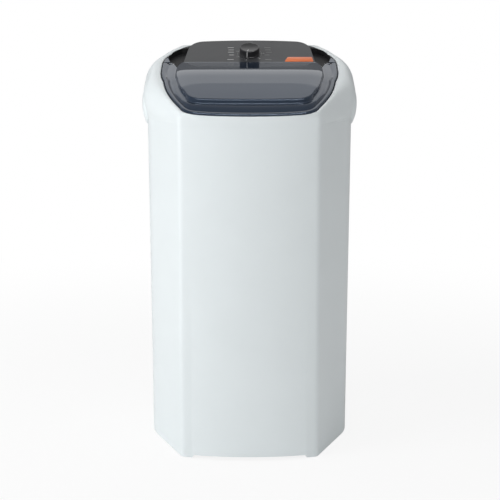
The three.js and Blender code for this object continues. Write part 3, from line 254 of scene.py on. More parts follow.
def rubber(name, colour):
    """Moulded rubber with bloom in its hollows."""
    skin = Finish(name, IOR=1.5)
    bloom = skin.noise(120, detail=6, roughness=0.7, seed=9.0)
    skin.set("Base Color", skin.blend(bloom.between(0.45, 0.75), colour, scaled(colour, 2.2)))
    skin.set("Roughness", 0.72 + bloom * 0.2)
    skin.bump(skin.noise(2200, detail=3, seed=10.0), 0.04 * MM)
    return skin.material


def brushed_metal(name, colour, roughness, vector_scale, turned=False):
    """Metal with fine lines along one direction, or round the vertical axis where it was turned."""
    metal = Finish(name, Metallic=1.0)
    if turned:
        x, y, z = metal.axes()
        radius = (x * x + y * y) ** 0.5
        combined = metal.add("ShaderNodeCombineXYZ", {}, {0: radius * 3.0, 1: z * 3.0, 2: 0.0})
        lines = metal.noise(vector_scale[0], detail=4, roughness=0.7, vector=combined, seed=11.0)
    else:
        lines = metal.noise(30, detail=4, roughness=0.7, vector=metal.stretched(vector_scale), seed=11.0)
    stain = metal.noise(16, detail=5, roughness=0.6, seed=12.0)
    metal.set("Base Color", metal.blend(stain.between(0.3, 0.8), colour, scaled(colour, 0.86)))
    metal.set("Roughness", roughness + (lines - 0.5) * 0.20 + stain.between(0.55, 0.8) * 0.08)
    metal.bump(lines, 0.03 * MM)
    return metal.material


def zinc_plated(name, colour):
    """Galvanized sheet with crystal spangle and dull patches."""
    sheet = Finish(name, Metallic=1.0)
    spangle = sheet.cells(110, output="Color")
    grey = sheet.add("ShaderNodeRGBToBW", {}, {0: spangle})
    sheet.set("Base Color", sheet.blend(grey, scaled(colour, 0.82), scaled(colour, 1.12)))
    dull = sheet.noise(22, detail=5, seed=13.0)
    sheet.set("Roughness", 0.34 + grey * 0.14 + dull.between(0.45, 0.7) * 0.14)
    sheet.bump(dull, 0.05 * MM)
    return sheet.material


def cast_metal(name, colour):
    """Cast aluminium with a sandy skin."""
    cast = Finish(name, Metallic=1.0)
    sand = cast.noise(700, detail=5, roughness=0.7, seed=14.0)
    tone = cast.noise(40, detail=4, seed=15.0)
    cast.set("Base Color", cast.blend(tone, scaled(colour, 0.80), scaled(colour, 1.08)))
    cast.set("Roughness", 0.46 + sand * 0.2)
    cast.bump(sand, 0.18 * MM)
    return cast.material


def stoved_enamel(name, colour):
    """Dark enamel with orange peel and dust."""
    enamel = Finish(name, IOR=1.5, Coat_Weight=0.3, Coat_Roughness=0.2)
    dust = enamel.noise(60, detail=6, roughness=0.7, seed=16.0)
    enamel.set("Base Color", enamel.blend(dust.between(0.5, 0.8), colour, scaled(colour, 2.0)))
    enamel.set("Roughness", 0.34 + dust * 0.2)
    enamel.bump(enamel.noise(420, detail=2, seed=17.0), 0.06 * MM)
    return enamel.material


def friction_lining(name, colour):
    """Pressed fibre with brass flecks."""
    pad = Finish(name)
    fibre = pad.noise(900, detail=6, roughness=0.8, seed=18.0)
    fleck = pad.cells(1300).between(0.16, 0.10)
    base = pad.blend(fibre, scaled(colour, 0.7), scaled(colour, 1.4))
    pad.set("Base Color", pad.blend(fleck, base, (0.55, 0.38, 0.14)))
    pad.set("Roughness", 0.95 - fleck * 0.4)
    pad.bump(fibre, 0.2 * MM)
    return pad.material


def printed_ink(name, colour):
    """Pad-printed ink, thin at its edges."""
    ink = Finish(name, IOR=1.45)
    thin = ink.noise(900, detail=3, seed=19.0)
    ink.set("Base Color", ink.blend(thin.between(0.3, 0.7), scaled(colour, 0.88), colour))
    ink.set("Roughness", 0.5 + thin * 0.15)
    ink.bump(thin, 0.01 * MM)
    return ink.material


def make_finishes(colours):
    """Every material by name: the record's slots, then the extra ones for moulding and print."""
    return {
        "white_plastic": moulded_plastic("cabinet_white", tuple(colours.white), 0.36, coat=0.12),
        "dark_plastic": moulded_plastic("dark_plastic", tuple(colours.dark), 0.42, 1500, 0.05 * MM),
        "panel_plastic": moulded_plastic("panel_grey", tuple(colours.panel), 0.34, 1900, 0.03 * MM),
        "smoked_plastic": smoked_plastic("smoked_lid", tuple(colours.smoke)),
        "tub_plastic": moulded_plastic("tub_plastic", tuple(colours.tub), 0.46, 1200, 0.05 * MM),
        "ring_plastic": moulded_plastic("ring_plastic", tuple(colours.ring), 0.34),
        "steel": brushed_metal("bright_steel", tuple(colours.steel), 0.30, (4, 4, 60)),
        "stainless": brushed_metal("stainless_drawn", tuple(colours.stainless), 0.24, (160, 1, 1), True),
        "galvanized": zinc_plated("zinc_plated", tuple(colours.zinc)),
        "cast_aluminium": cast_metal("cast_aluminium", tuple(colours.cast)),
        "black_rubber": rubber("black_rubber", tuple(colours.rubber)),
        "motor_enamel": stoved_enamel("motor_enamel", tuple(colours.enamel)),
        "brake_lining": friction_lining("brake_lining", tuple(colours.lining)),
        # The housing is its own dark plastic made darker still and given little sheen: painted shade for its
        # pockets and for the floor under the lid's notches
        "housing": moulded_plastic("housing_dark_painted_shade", scaled(colours.dark, 0.8), 0.5, 1500, 0.05 * MM,
                                   shine=0.14),
        "knob": moulded_plastic("knob_plastic", tuple(colours.dark), 0.30, 1500, 0.04 * MM),
        "print_pale": printed_ink("pale_print", tuple(colours.print_pale)),
        "print_dim": printed_ink("dim_print", scaled(colours.print_pale, 0.45)),
        "accent": moulded_plastic("accent_strip", tuple(colours.accent), 0.30),
    }


# ---------------------------------------------------------------- mesh helpers


def smooth_by_angle(bm, degrees=32):
    """Smooth faces, with edges marked sharp where the surface turns by more than an angle."""
    limit = math.radians(degrees)
    for face in bm.faces:
        face.smooth = True
    for edge in bm.edges:
        edge.smooth = len(edge.link_faces) == 2 and edge.calc_face_angle(0.0) < limit


def finish_piece(bm, name, body, finish, replaces=(), degrees=32, bevel=0.0,
                 segments=2):
    """Turns a bmesh into a piece of the dryer that rides on a body."""
    smooth_by_angle(bm, degrees)
    mesh = bpy.data.meshes.new(name)
    bm.to_mesh(mesh)
    bm.free()
    piece = bpy.data.objects.new(name, mesh)
    bpy.context.scene.collection.objects.link(piece)
    mesh.materials.append(finishes[finish])
    if bevel:
        soften(piece, bevel, segments, degrees)
    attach(piece, body)
    if replaces:
        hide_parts(*replaces)
    return piece


def soften(piece, width, segments, degrees):
    """A live bevel on the sharp edges."""
    bevel = piece.modifiers.new("soft_edges", "BEVEL")
    bevel.width = width
    bevel.segments = segments
    bevel.limit_method = "ANGLE"
    bevel.angle_limit = math.radians(degrees)
    bevel.use_clamp_overlap = True
    bevel.harden_normals = True


def merged_copy(node):
    """A bmesh of a frame node with its loose triangles joined and its flat faces whole."""
    bm = bmesh.new()
    bm.from_mesh(nodes[node].data)
    bmesh.ops.remove_doubles(bm, verts=bm.verts, dist=0.02 * MM)
    bmesh.ops.dissolve_limit(bm, angle_limit=math.radians(0.6), verts=bm.verts, edges=bm.edges,
                             use_dissolve_boundaries=False, delimit=set())
    return bm


def refined(node, bevel):
    """A node remade with rounded edges and smooth curves, standing for the plain one."""
    finish_piece(merged_copy(node), f"{node}_finished", body_of_node[node], slot_of_node[node],
                 replaces=[node], bevel=bevel)


def moved(bm, matrix):
    bmesh.ops.transform(bm, matrix=matrix, verts=bm.verts)
    return bm


def eased(bm, edges, width, segments=2):
    """Rounds some edges of a solid."""
    bmesh.ops.bevel(bm, geom=list(edges), offset=width, segments=segments, profile=0.5, affect="EDGES",
                    material=-1)


def edges_at(verts):
    """The edges at some vertices, each once and in the same order every time."""
    return list(dict.fromkeys(e for v in verts for e in v.link_edges))


def grown(bm, verts, places):
    """Extrudes a closed chain of vertices to new places and returns the new chain."""
    edges = [e for e in rim_edges(verts) if len(e.link_faces) < 2]
    result = bmesh.ops.extrude_edge_only(bm, edges=edges)["geom"]
    fresh = {g for g in result if isinstance(g, bmesh.types.BMVert)}
    following = []
    for vert, place in zip(verts, places):
        twin = next(e.other_vert(vert) for e in vert.link_edges if e.other_vert(vert) in fresh)
        twin.co = place
        following.append(twin)
    return following


def chain_of(bm, places):
    """A closed chain of edges through the places."""
    verts = [bm.verts.new(place) for place in places]
    for i, vert in enumerate(verts):
        bm.edges.new((vert, verts[(i + 1) % len(verts)]))
    return verts


def skin(rings, closed=False):
    """A bmesh skin grown through matched rings, joined end to end where it is closed."""
    bm = bmesh.new()
    first = chain = chain_of(bm, rings[0])
    for ring in rings[1:]:
        chain = grown(bm, chain, ring)
    if closed:
        ends = [rim_edges(first), rim_edges(chain)]
        bmesh.ops.bridge_loops(bm, edges=ends[0] + ends[1])
    bmesh.ops.recalc_face_normals(bm, faces=bm.faces)
    return bm


def rim_edges(chain):
    rim = set(chain)
    return [e for e in edges_at(chain) if set(e.verts) <= rim]


def closed_by_face(bm, ring):
    """Closes the hole inside a ring of the skin with one face."""
    places = {tuple(round(c, 6) for c in place) for place in ring}
    rim = [v for v in bm.verts if tuple(round(c, 6) for c in v.co) in places]
    edges = [e for e in edges_at(rim) if len(e.link_faces) == 1]
    return bmesh.ops.contextual_create(bm, geom=edges)["faces"]


def stacked(rings):
    """A solid skin through stacked rings, with a face over the first and the last."""
    bm = skin(rings)
    for ring in (rings[0], rings[-1]):
        closed_by_face(bm, ring)
    bmesh.ops.recalc_face_normals(bm, faces=bm.faces)
    return bm


def quarter(steps):
    """Turns of a rounded edge, each with its cosine and sine."""
    return [(math.cos(math.pi / 2 * i / steps), math.sin(math.pi / 2 * i / steps)) for i in range(steps + 1)]


def lathe(profile, steps):
    """A closed profile of (radius, height) pairs in millimetres spun about the upright axis."""
    bm = bmesh.new()
    verts = [bm.verts.new((r * MM, 0, z * MM)) for r, z in profile]
    edges = [bm.edges.new((v, verts[(i + 1) % len(verts)])) for i, v in enumerate(verts)]
    bmesh.ops.spin(bm, geom=verts + edges, cent=(0, 0, 0), axis=(0, 0, 1), angle=math.tau, steps=steps,
                   use_merge=True)
    bmesh.ops.remove_doubles(bm, verts=bm.verts, dist=0.01 * MM)
    bmesh.ops.recalc_face_normals(bm, faces=bm.faces)
    return bm


def add_into(target, source, matrix=Matrix.Identity(4)):
    """Adds a placed copy of one bmesh's mesh to another."""
    scratch = bpy.data.meshes.new("scratch")
    source.to_mesh(scratch)
    scratch.transform(matrix)
    target.from_mesh(scratch)
    bpy.data.meshes.remove(scratch)


def turned_bar(radius, start, end, sides):
    """A round bar between two points."""
    start, end = Vector(start), Vector(end)
    bm = bmesh.new()
    bmesh.ops.create_cone(bm, cap_ends=True, segments=sides, radius1=radius, radius2=radius,
                          depth=(end - start).length)
    turn = (end - start).to_track_quat("Z", "Y").to_matrix().to_4x4()
    return moved(bm, Matrix.Translation((start + end) / 2) @ turn)


def sided(side, points):
    """A counterclockwise outline, given in millimetres for the right side, on either side."""
    points = [Vector((side * x * MM, y * MM)) for x, y in points]
    return points if side > 0 else points[::-1]
# ---------------------------------------------------------------- plan outlines


class DRYER_PG_body(bpy.types.PropertyGroup):
    half_width: length("Half width", "Cabinet, at the seam with the top cover", 270 * MM)
    taper: length("Taper", "How much narrower each side is at the floor", 5 * MM)
    half_depth: length("Half depth", "From the middle to the flat rear wall", 276 * MM)
    front_bow: length("Front bow", "How far the front bulges past its creases", 24 * MM)
    front_half_width: length("Front half width", "To the crease beside the front", 176 * MM)
    crease: length("Crease radius", "Rounding of the front creases", 9 * MM)
    corner: length("Corner radius", "Rounding of the side and rear corners", 40 * MM)
    wall: length("Wall", "Thickness of the moulded wall", 3 * MM)
    seam_height: length("Seam height", "Where cabinet and cover meet", 859 * MM)
    flange: length("Flange", "Inward ledge round the cabinet's top", 16 * MM)
    front_rise: length("Cover front rise", "Top of the cover above the seam, at the front", 27 * MM)
    slope: FloatProperty(name="Cover slope", description="How steeply the cover climbs to the rear",
                         default=math.radians(17.0), subtype="ANGLE")
    dip: length("Front dip", "How much the cover's slope steepens down to its front", 2.5 * MM)
    plateau: length("Plateau", "Depth of the cover's flat part behind the panel", 45 * MM)
    flare: length("Flare", "How much wider the cover is above the seam, at each side", 11 * MM)
    roll: length("Shoulder height", "Of the cover's rounded shoulder", 48 * MM)
    well_depth: length("Well depth", "From the cover's top to the ledge under the lid", 18 * MM)
    well_ledge: length("Well ledge", "Width of the ledge that carries the lid", 12 * MM)


def curve_through(start, control, end, steps=10):
    """Points of a corner's curve, without its start."""
    return [start.lerp(control, i / steps).lerp(control.lerp(end, i / steps), i / steps)
            for i in range(1, steps + 1)]


def bowed(start, end, bow, steps=8):
    """Points of a side that swells outwards by a bow, without its start."""
    along = end - start
    outward = Vector((along.y, -along.x)).normalized()
    return curve_through(start, (start + end) / 2 + outward * 2 * bow, end, steps)


def plan(bow, crease, front, side, side_rear, rear, corner, facet_bow=0.0, rear_bow=0.0):
    """An eight-sided outline with a bowed front, counterclockwise from the middle of the front."""
    front, side, side_rear, rear = (Vector(p) for p in (front, side, side_rear, rear))
    points = [Vector((0, front.y - bow))]
    crown = Vector((front.x / 2, front.y - bow))
    points += curve_through(points[-1], crown,
                            Vector((front.x - crease, front.y - 2 * bow * crease / front.x)), 24)
    facet = (side - front).normalized()
    points += curve_through(points[-1], front, front + facet * crease)
    points += bowed(points[-1], side - facet * corner, facet_bow)
    points += curve_through(points[-1], side, side + Vector((0, corner)))
    points.append(side_rear - Vector((0, corner)))
    rear_facet = (rear - side_rear).normalized()
    points += curve_through(points[-1], side_rear, side_rear + rear_facet * corner)
    points += bowed(points[-1], rear - rear_facet * corner, rear_bow)
    points += curve_through(points[-1], rear, rear - Vector((corner, 0)))
    return points + [Vector((-p.x, p.y)) for p in reversed(points[1:])]


def body_plan(body, narrower=0.0):
    half = body.half_width - narrower
    return plan(body.front_bow, body.crease, (body.front_half_width, body.front_bow - body.half_depth),
                (half, -38 * MM), (half, 112 * MM), (188 * MM, body.half_depth), body.corner)


def well_plan(body):
    """The opening that the lid lies in, a rim's width inside the body."""
    side = body.half_width - 34 * MM
    return plan(17 * MM, 34 * MM, (body.front_half_width - 11 * MM, 22 * MM - body.half_depth),
                (side, -8 * MM), (side, 124 * MM), (172 * MM, body.half_depth - 43 * MM), 40 * MM,
                8 * MM, 4 * MM)


def raised_plan(body):
    """The raised middle of the lid."""
    side = body.half_width - 76 * MM
    return plan(5 * MM, 36 * MM, (body.front_half_width - 22 * MM, 65 * MM - body.half_depth),
                (side, -48 * MM), (side, 46 * MM), (148 * MM, body.half_depth - 90 * MM), 30 * MM, 4 * MM)


def cross(a, b):
    return a.x * b.y - a.y * b.x


def bearing(point):
    return math.atan2(point.x, -point.y)


def shared_bearings(plans, least=0.5, most=2.2):
    """Directions from the middle, in degrees apart, at which every outline gets a point."""
    angles = sorted(bearing(p) for points in plans for p in points)
    kept = [angles[0]]
    for angle in angles[1:]:
        gap = math.degrees(angle - kept[-1])
        if gap < least:
            continue
        cuts = math.ceil(gap / most)
        start = kept[-1]
        kept += [start + (angle - start) * (i + 1) / cuts for i in range(cuts)]
    return kept


def met_at(points, bearings):
    """The outline met by a ray from the middle at every bearing."""
    count = len(points)
    sides = [(points[i], points[(i + 1) % count]) for i in range(count)]
    found = []
    for angle in bearings:
        ray = Vector((math.sin(angle), -math.cos(angle)))
        for start, end in sides:
            if cross(ray, start) <= 0 < cross(ray, end) and ray.dot(start) > 0:
                along = end - start
                found.append(start + along * (cross(ray, start) / -cross(ray, along)))
                break
        else:
            raise ValueError(f"no side of the outline lies at {math.degrees(angle):.1f} degrees")
    return found


def inset(points, distance):
    """The outline moved inwards along its own sides' normals."""
    count = len(points)
    moved = []
    for i, point in enumerate(points):
        before = (point - points[i - 1]).normalized()
        after = (points[(i + 1) % count] - point).normalized()
        normal = Vector((-(before.y + after.y), before.x + after.x)).normalized()
        miter = max(0.5, Vector((-before.y, before.x)).dot(normal))
        moved.append(point + normal * (distance / miter))
    return moved


def slimmer(points, distance):
    """The outline drawn in towards the middle, by about a distance all round."""
    share = 1 - distance / (262 * MM)
    return [point * share for point in points]


def level(points, height):
    return [Vector((p.x, p.y, height)) for p in points]


def way_to(points, point):
    """The shortest way from a point to an outline."""
    best = math.inf
    for i, start in enumerate(points):
        along = points[(i + 1) % len(points)] - start
        share = max(0.0, min(1.0, (point - start).dot(along) / along.length_squared))
        best = min(best, (start + along * share - point).length)
    return best


def matched_plans(body):
    """The body's outlines by name, with a point of each in every shared direction."""
    plans = {
        "seam": body_plan(body),
        "foot": body_plan(body, body.taper),
        "belly": body_plan(body, -body.flare),
        "well": well_plan(body),
        "raised": raised_plan(body),
    }
    bearings = shared_bearings([plans["seam"], plans["well"]])
    return {name: met_at(points, bearings) for name, points in plans.items()}


def cover_height(body, y):
    """Height of the cover's top, which dips at its front and climbs to a flat part at the rear."""
    front = body.seam_height + body.front_rise
    run = min(y + body.half_depth, 2 * body.half_depth - body.plateau)
    dip = max(0.0, (-y - 150 * MM) / (126 * MM)) ** 2 * body.dip
    return front + run * math.tan(body.slope) - dip
# ---------------------------------------------------------------- solids that are cut and joined


def slab(places, offset):
    """A solid made by pushing a flat outline along an offset."""
    bm = bmesh.new()
    face = bm.faces.new([bm.verts.new(place) for place in places])
    pushed = bmesh.ops.extrude_face_region(bm, geom=[face])["geom"]
    bmesh.ops.translate(bm, verts=[item for item in pushed if isinstance(item, bmesh.types.BMVert)],
                        vec=offset)
    bmesh.ops.recalc_face_normals(bm, faces=bm.faces)
    return bm


def brick(low, high):
    """A block between two corners."""
    (x0, y0, z0), (x1, y1, z1) = low, high
    return slab([(x0, y0, z0), (x1, y0, z0), (x1, y1, z0), (x0, y1, z0)], (0, 0, z1 - z0))


def scratch_object(bm):
    mesh = bpy.data.meshes.new("scratch")
    bm.to_mesh(mesh)
    bm.free()
    item = bpy.data.objects.new("scratch", mesh)
    bpy.context.scene.collection.objects.link(item)
    return item


def carved(bm, tools, operation="DIFFERENCE"):
    """Cuts tools out of a solid, or joins them to it."""
    body = scratch_object(bm)
    helpers = [scratch_object(tool) for tool in tools]
    for helper in helpers:
        modifier = body.modifiers.new("cut", "BOOLEAN")
        modifier.operation = operation
        modifier.solver = "EXACT"
        modifier.object = helper
    result = bmesh.new()
    result.from_object(body, bpy.context.evaluated_depsgraph_get())
    for item in (body, *helpers):
        mesh = item.data
        bpy.data.objects.remove(item)
        bpy.data.meshes.remove(mesh)
    bmesh.ops.remove_doubles(result, verts=result.verts, dist=0.01 * MM)
    return in_order(result)


def in_order(bm):
    """The same mesh with vertices and faces in an order that doesn't change from run to run."""
    verts = sorted(bm.verts, key=lambda v: tuple(v.co))
    rank = {vert: i for i, vert in enumerate(verts)}
    rings = []
    for face in bm.faces:
        ring = [rank[vert] for vert in face.verts]
        # a four-sided face turns only by half, or it would be split along its other diagonal
        turns = range(0, len(ring), 2 if len(ring) == 4 else 1)
        start = min(turns, key=ring.__getitem__)
        rings.append(ring[start:] + ring[:start])
    ordered = bmesh.new()
    twins = [ordered.verts.new(vert.co) for vert in verts]
    for ring in sorted(rings):
        ordered.faces.new([twins[i] for i in ring])
    ordered.normal_update()
    bm.free()
    return ordered


# ---------------------------------------------------------------- cabinet


class DRYER_OT_cabinet(bpy.types.Operator):
    """Grow the white cabinet: a bowed front between two creases, slanted facets and a flanged top"""

    bl_idname = "dryer.cabinet"
    bl_label = "Cabinet"

    def execute(self, context):
        body = context.scene.dryer_body
        rings = matched_plans(body)
        low, high = MM, body.seam_height - 0.05 * MM
        wall, lip = body.wall, 1.5 * MM
        foot, seam = rings["foot"], rings["seam"]
        under = high - wall
        shell = skin([
            level(slimmer(foot, lip), low),
            level(slimmer(foot, lip * 0.3), low + lip * 0.3),
            level(foot, low + lip),
            level(seam, high),
            level(slimmer(seam, body.flange), high),
            level(slimmer(seam, body.flange), under),
            level(slimmer(seam, wall), under),
            level(slimmer(foot, wall), low),
        ], closed=True)
        shell = carved(shell, cabinet_cuts(body))
        finish_piece(shell, "cabinet_shell", "root", "white_plastic", replaces=["cabinet"])
        return {"FINISHED"}


def cabinet_cuts(body):
    """The arches between the feet, the service opening, and the holes for drain, gland and cables."""
    deep = body.half_depth + 10 * MM
    arch = slab([(-150 * MM, -deep, 0), (150 * MM, -deep, 0), (144 * MM, -deep, 8.5 * MM),
                 (-144 * MM, -deep, 8.5 * MM)], (0, 2 * deep, 0))
    inside = body.half_depth - body.wall - 5 * MM
    opening = brick((-96 * MM, inside, 70 * MM), (96 * MM, deep, 318 * MM))
    holes = [turned_bar(radius * MM, (x * MM, inside, z * MM), (x * MM, deep, z * MM), sides)
             for radius, x, z, sides in ((15.3, -126, 66, 48), (8.3, 130, 96, 32))]
    above, below = body.seam_height + 9 * MM, body.seam_height - 9 * MM
    harness = brick((62 * MM, body.half_depth - body.flange - MM, below),
                    (78 * MM, body.half_depth - body.wall, above))
    cable = brick((-body.half_width + body.wall, 2 * MM, below),
                  (-body.half_width + body.flange + MM, 18 * MM, above))
    return [arch, opening, *holes, harness, cable]
# ---------------------------------------------------------------- top cover


def draped(body, points, drop):
    """An outline laid below the cover's slope by a drop."""
    return [Vector((p.x, p.y, cover_height(body, p.y) - drop)) for p in points]


def shoulder_rings(body, rings, wall, steps=12):
    """The rounded shoulder, from the side wall over to the top, in steps."""
    belly, edge = rings["belly"], inset(rings["well"], -3 * MM)
    widths = evened([way_to(rings["well"], point) for point in belly], 5, 6)
    made = []
    for step in range(steps + 1):
        turn = step / steps * math.pi / 2
        ring = []
        for point, end, width in zip(belly, edge, widths):
            share = 0.8 * (1 - math.cos(turn)) + wall * math.cos(turn) / width
            place = point.lerp(end, share)
            roll = body.roll * min(1.0, width / (30 * MM))
            z = cover_height(body, place.y) - roll * (1 - math.sin(turn)) - wall * math.sin(turn)
            ring.append(Vector((place.x, place.y, z)))
        made.append(ring)
    return made


def evened(values, reach, times):
    """Values round a ring, each made the mean of its neighbours, several times over."""
    count = len(values)
    for _ in range(times):
        values = [sum(values[(i + k) % count] for k in range(-reach, reach + 1)) / (2 * reach + 1)
                  for i in range(count)]
    return values


def side_rings(body, rings, shoulder, wall, steps=8):
    """The side wall, which flares from the seam to the foot of the shoulder."""
    foot = slimmer(rings["seam"], wall)
    made = []
    for step in range(steps):
        share = step / steps
        out = math.sin(share * math.pi / 2)
        ring = []
        for low, top in zip(foot, shoulder[0]):
            place = low.lerp(top.xy, out)
            ring.append(Vector((place.x, place.y, body.seam_height + (top.z - body.seam_height) * share)))
        made.append(ring)
    return made


def overhung(body, outline, proud):
    """The seam's outline, grown a little beyond the creases, where the cover stands proud."""
    fade = 30 * MM
    points = []
    for point in outline:
        share = min(1.0, max(0.0, (abs(point.x) - body.front_half_width) / fade))
        points.append(point * (1 + proud * share / point.length))
    return points


def well_rings(body, well):
    """The rounded rim of the opening, its wall, the ledge under the lid and the ledge's underside."""
    radius, behind = 3 * MM, -1.8 * MM
    rounding = [draped(body, inset(well, -radius * (1 - s)), radius * (1 - c)) for c, s in quarter(4)]
    depth, ledge = body.well_depth, body.well_ledge
    return rounding + [
        draped(body, well, depth - 2 * MM),
        draped(body, inset(well, 2 * MM), depth),
        draped(body, inset(well, ledge - MM), depth),
        draped(body, inset(well, ledge), depth + MM),
        draped(body, inset(well, ledge), depth + body.wall),
        draped(body, inset(well, behind), depth + body.wall),
        draped(body, inset(well, behind), body.wall + radius),
    ]


class DRYER_OT_top_cover(bpy.types.Operator):
    """Grow the white top cover, with its rounded shoulder, sunk opening and two hand grips"""

    bl_idname = "dryer.top_cover"
    bl_label = "Top cover"

    def execute(self, context):
        body = context.scene.dryer_body
        rings = matched_plans(body)
        outer = shoulder_rings(body, rings, 0.0)
        inner = shoulder_rings(body, rings, body.wall, 5)
        seam = body.seam_height
        sides = side_rings(body, rings, outer, 0.0)
        sides[0] = level(overhung(body, rings["seam"], 1.3 * MM), seam + 0.9 * MM)
        shell = skin([
            level(overhung(body, rings["seam"], 0.3 * MM), seam),
            level(overhung(body, rings["seam"], 1.0 * MM), seam + 0.25 * MM),
            *sides,
            *outer,
            *well_rings(body, rings["well"]),
            *reversed(inner),
            *reversed(side_rings(body, rings, inner, body.wall, 3)),
        ], closed=True)
        shell = carved(shell, [plunger_hole(body)])
        for side in (-1, 1):
            add_into(shell, grip(body, rings, side))
        add_into(shell, bridge(body))
        finish_piece(shell, "top_cover_shell", "root", "white_plastic", replaces=["top_cover"])
        return {"FINISHED"}


def plunger_hole(body):
    low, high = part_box("lid_switch_plunger")
    middle = (low + high) / 2
    up = Vector((0, -math.sin(body.slope), math.cos(body.slope)))
    return turned_bar(2.3 * MM, middle - up * 12 * MM, middle + up * 12 * MM, 16)


def bridge(body):
    """The bar across the opening that the control housing stands against."""
    half = body.half_width - 38 * MM
    front, rear = 58 * MM, 102 * MM
    places = [(-half, front), (half, front), (half, rear), (-half, rear)]
    low = body.well_depth + body.wall
    bar = slab([(x, y, cover_height(body, y) - low) for x, y in places], (0, 0, body.wall))
    eased(bar, [e for e in bar.edges if abs(e.verts[0].co.y - e.verts[1].co.y) < MM], 0.8 * MM)
    return bar


def leaf(root, reach, half, steps=14):
    """A leaf-shaped plan on the body's side, from rear to front."""
    middle = 36 * MM
    tip = root + reach
    rear = [Vector((root, middle + half)), Vector((root + reach * 0.7, middle + half * 0.9)),
            Vector((tip, middle + half * 0.75)), Vector((tip, middle + half * 0.35))]
    curve = [bezier(rear, i / steps) for i in range(steps + 1)]
    front = [Vector((p.x, 2 * middle - p.y)) for p in reversed(curve)]
    return curve + front


def bezier(points, share):
    while len(points) > 1:
        points = [a.lerp(b, share) for a, b in zip(points, points[1:])]
    return points[0]


# height above the seam, reach from the body's side and half length of the grip, in millimetres
GRIP_LEVELS = ((-17, 3.4, 40), (-14, 4.8, 48), (-10, 6.4, 56), (0, 9.5, 69), (10, 12, 78), (25, 13.8, 86),
               (32, 14.2, 88), (45, 14.2, 85), (55, 13.6, 78), (63, 12.6, 66), (68, 11.6, 50))


def leaf_solid(body, root, levels, thinner, shorter):
    """A solid of stacked leaves, from the levels' table."""
    leaves = []
    for height, reach, half in levels:
        outline = leaf(body.half_width + root, (reach - thinner) * MM - root, half * shorter * MM)
        leaves.append(level(outline, body.seam_height + height * MM))
    return stacked(leaves)


def grip(body, rings, side):
    """A hand grip: a leaf-shaped swelling low on the cover's side, hollow for the fingers from below."""
    bm = leaf_solid(body, -3.5 * MM, GRIP_LEVELS, 0, 1)
    finger_levels = [(-19, 3.0, 38), *GRIP_LEVELS[:6]]
    hollow = leaf_solid(body, 0.3 * MM, finger_levels, 2.2, 0.86)
    below = slab(level(inset(rings["seam"], -0.3 * MM), body.seam_height - 22 * MM), (0, 0, 22 * MM))
    bm = carved(bm, [hollow, below])
    if side < 0:
        bmesh.ops.scale(bm, verts=bm.verts, vec=(-1, 1, 1))
        bmesh.ops.recalc_face_normals(bm, faces=bm.faces)
    return bm


# ---------------------------------------------------------------- lid


class DRYER_PG_lid(bpy.types.PropertyGroup):
    gap: length("Gap", "Between the lid and the wall of the opening", 2 * MM)
    proud: length("Proud", "Height of the lid's rim above the cover", 2 * MM)
    wall: length("Lid wall", "Thickness of the lid", 3 * MM)
    rear: length("Rear edge", "Where the lid ends, behind the hinge", 83 * MM)
    step_front: length("Front step", "Height of the raised middle above the rim, at its front", 16 * MM)
    step_middle: length("Middle step", "Height of the raised middle at its crease and hump", 23 * MM)
    step_rear: length("Rear step", "Height of the raised middle at the hinge", 2.8 * MM)
    facet: length("Facet depth", "From the raised middle's front to its crease", 86 * MM)
    hump: length("Hump", "Where the top's rear part bends to a flatter slope", -38 * MM)
    crown: length("Crown", "How much the raised top falls towards its sides", 7 * MM)
    swell: length("Swell", "How much the flange rises from its rim to the raised middle", 5.5 * MM)
    bead: length("Bead", "Height of the bead along the rim", 1.6 * MM)
    ledge_drop: length("Ledge drop", "How much the flat ledge inside the bead lies below the rim", 1.8 * MM)
    bead_share: FloatProperty(name="Bead share", description="Part of the flange that is the bead's flat top",
                              default=0.15, min=0.0, max=0.5)
    ledge_share: FloatProperty(name="Ledge share", description="Part of the flange that is the flat ledge",
                               default=0.36, min=0.05, max=0.9)


def rim_height(body, lid, y):
    return cover_height(body, y) + lid.proud


def raised_profile(body, lid):
    """The raised middle's height above the rim along the machine: a front facet, a hump, a flat rear."""
    front = 64 * MM - body.half_depth
    crease = Vector((front + lid.facet, lid.step_middle))
    rear = Vector((lid.rear, lid.step_rear))
    bend = Vector((lid.hump, lid.step_middle))
    before, after = bend.lerp(crease, 0.45), bend.lerp(rear, 0.32)
    return [Vector((front, lid.step_front)), crease, before, *curve_through(before, bend, after, 8), rear]


def raised_height(body, lid, x, y):
    """Height of the raised middle, which falls a little towards its sides."""
    profile = raised_profile(body, lid)
    step = profile[0].y if y < profile[0].x else profile[-1].y
    for start, end in zip(profile, profile[1:]):
        if start.x <= y <= end.x:
            step = start.y + (end.y - start.y) * (y - start.x) / (end.x - start.x)
    share = min(1.0, abs(x) / (196 * MM))
    fall = lid.crown * share ** 9 * min(1.0, step / lid.step_middle)
    facet_plane = profile[0].y + (y - profile[0].x) * (profile[1].y - profile[0].y) / lid.facet
    if profile[0].x < y < profile[1].x:
        fall = max(0.0, fall - (profile[1].y - facet_plane))
    return rim_height(body, lid, y) + step - fall


def lid_ring(body, lid, points, distance, drop):
    return [Vector((p.x, p.y, rim_height(body, lid, p.y) - drop)) for p in inset(points, distance)]


def step_share(body, lid, place):
    """How full the step is beside a place: 1 in the middle of the machine, less towards the hinge."""
    step = raised_height(body, lid, place.x, place.y) - rim_height(body, lid, place.y)
    return min(1.0, step / lid.step_front)


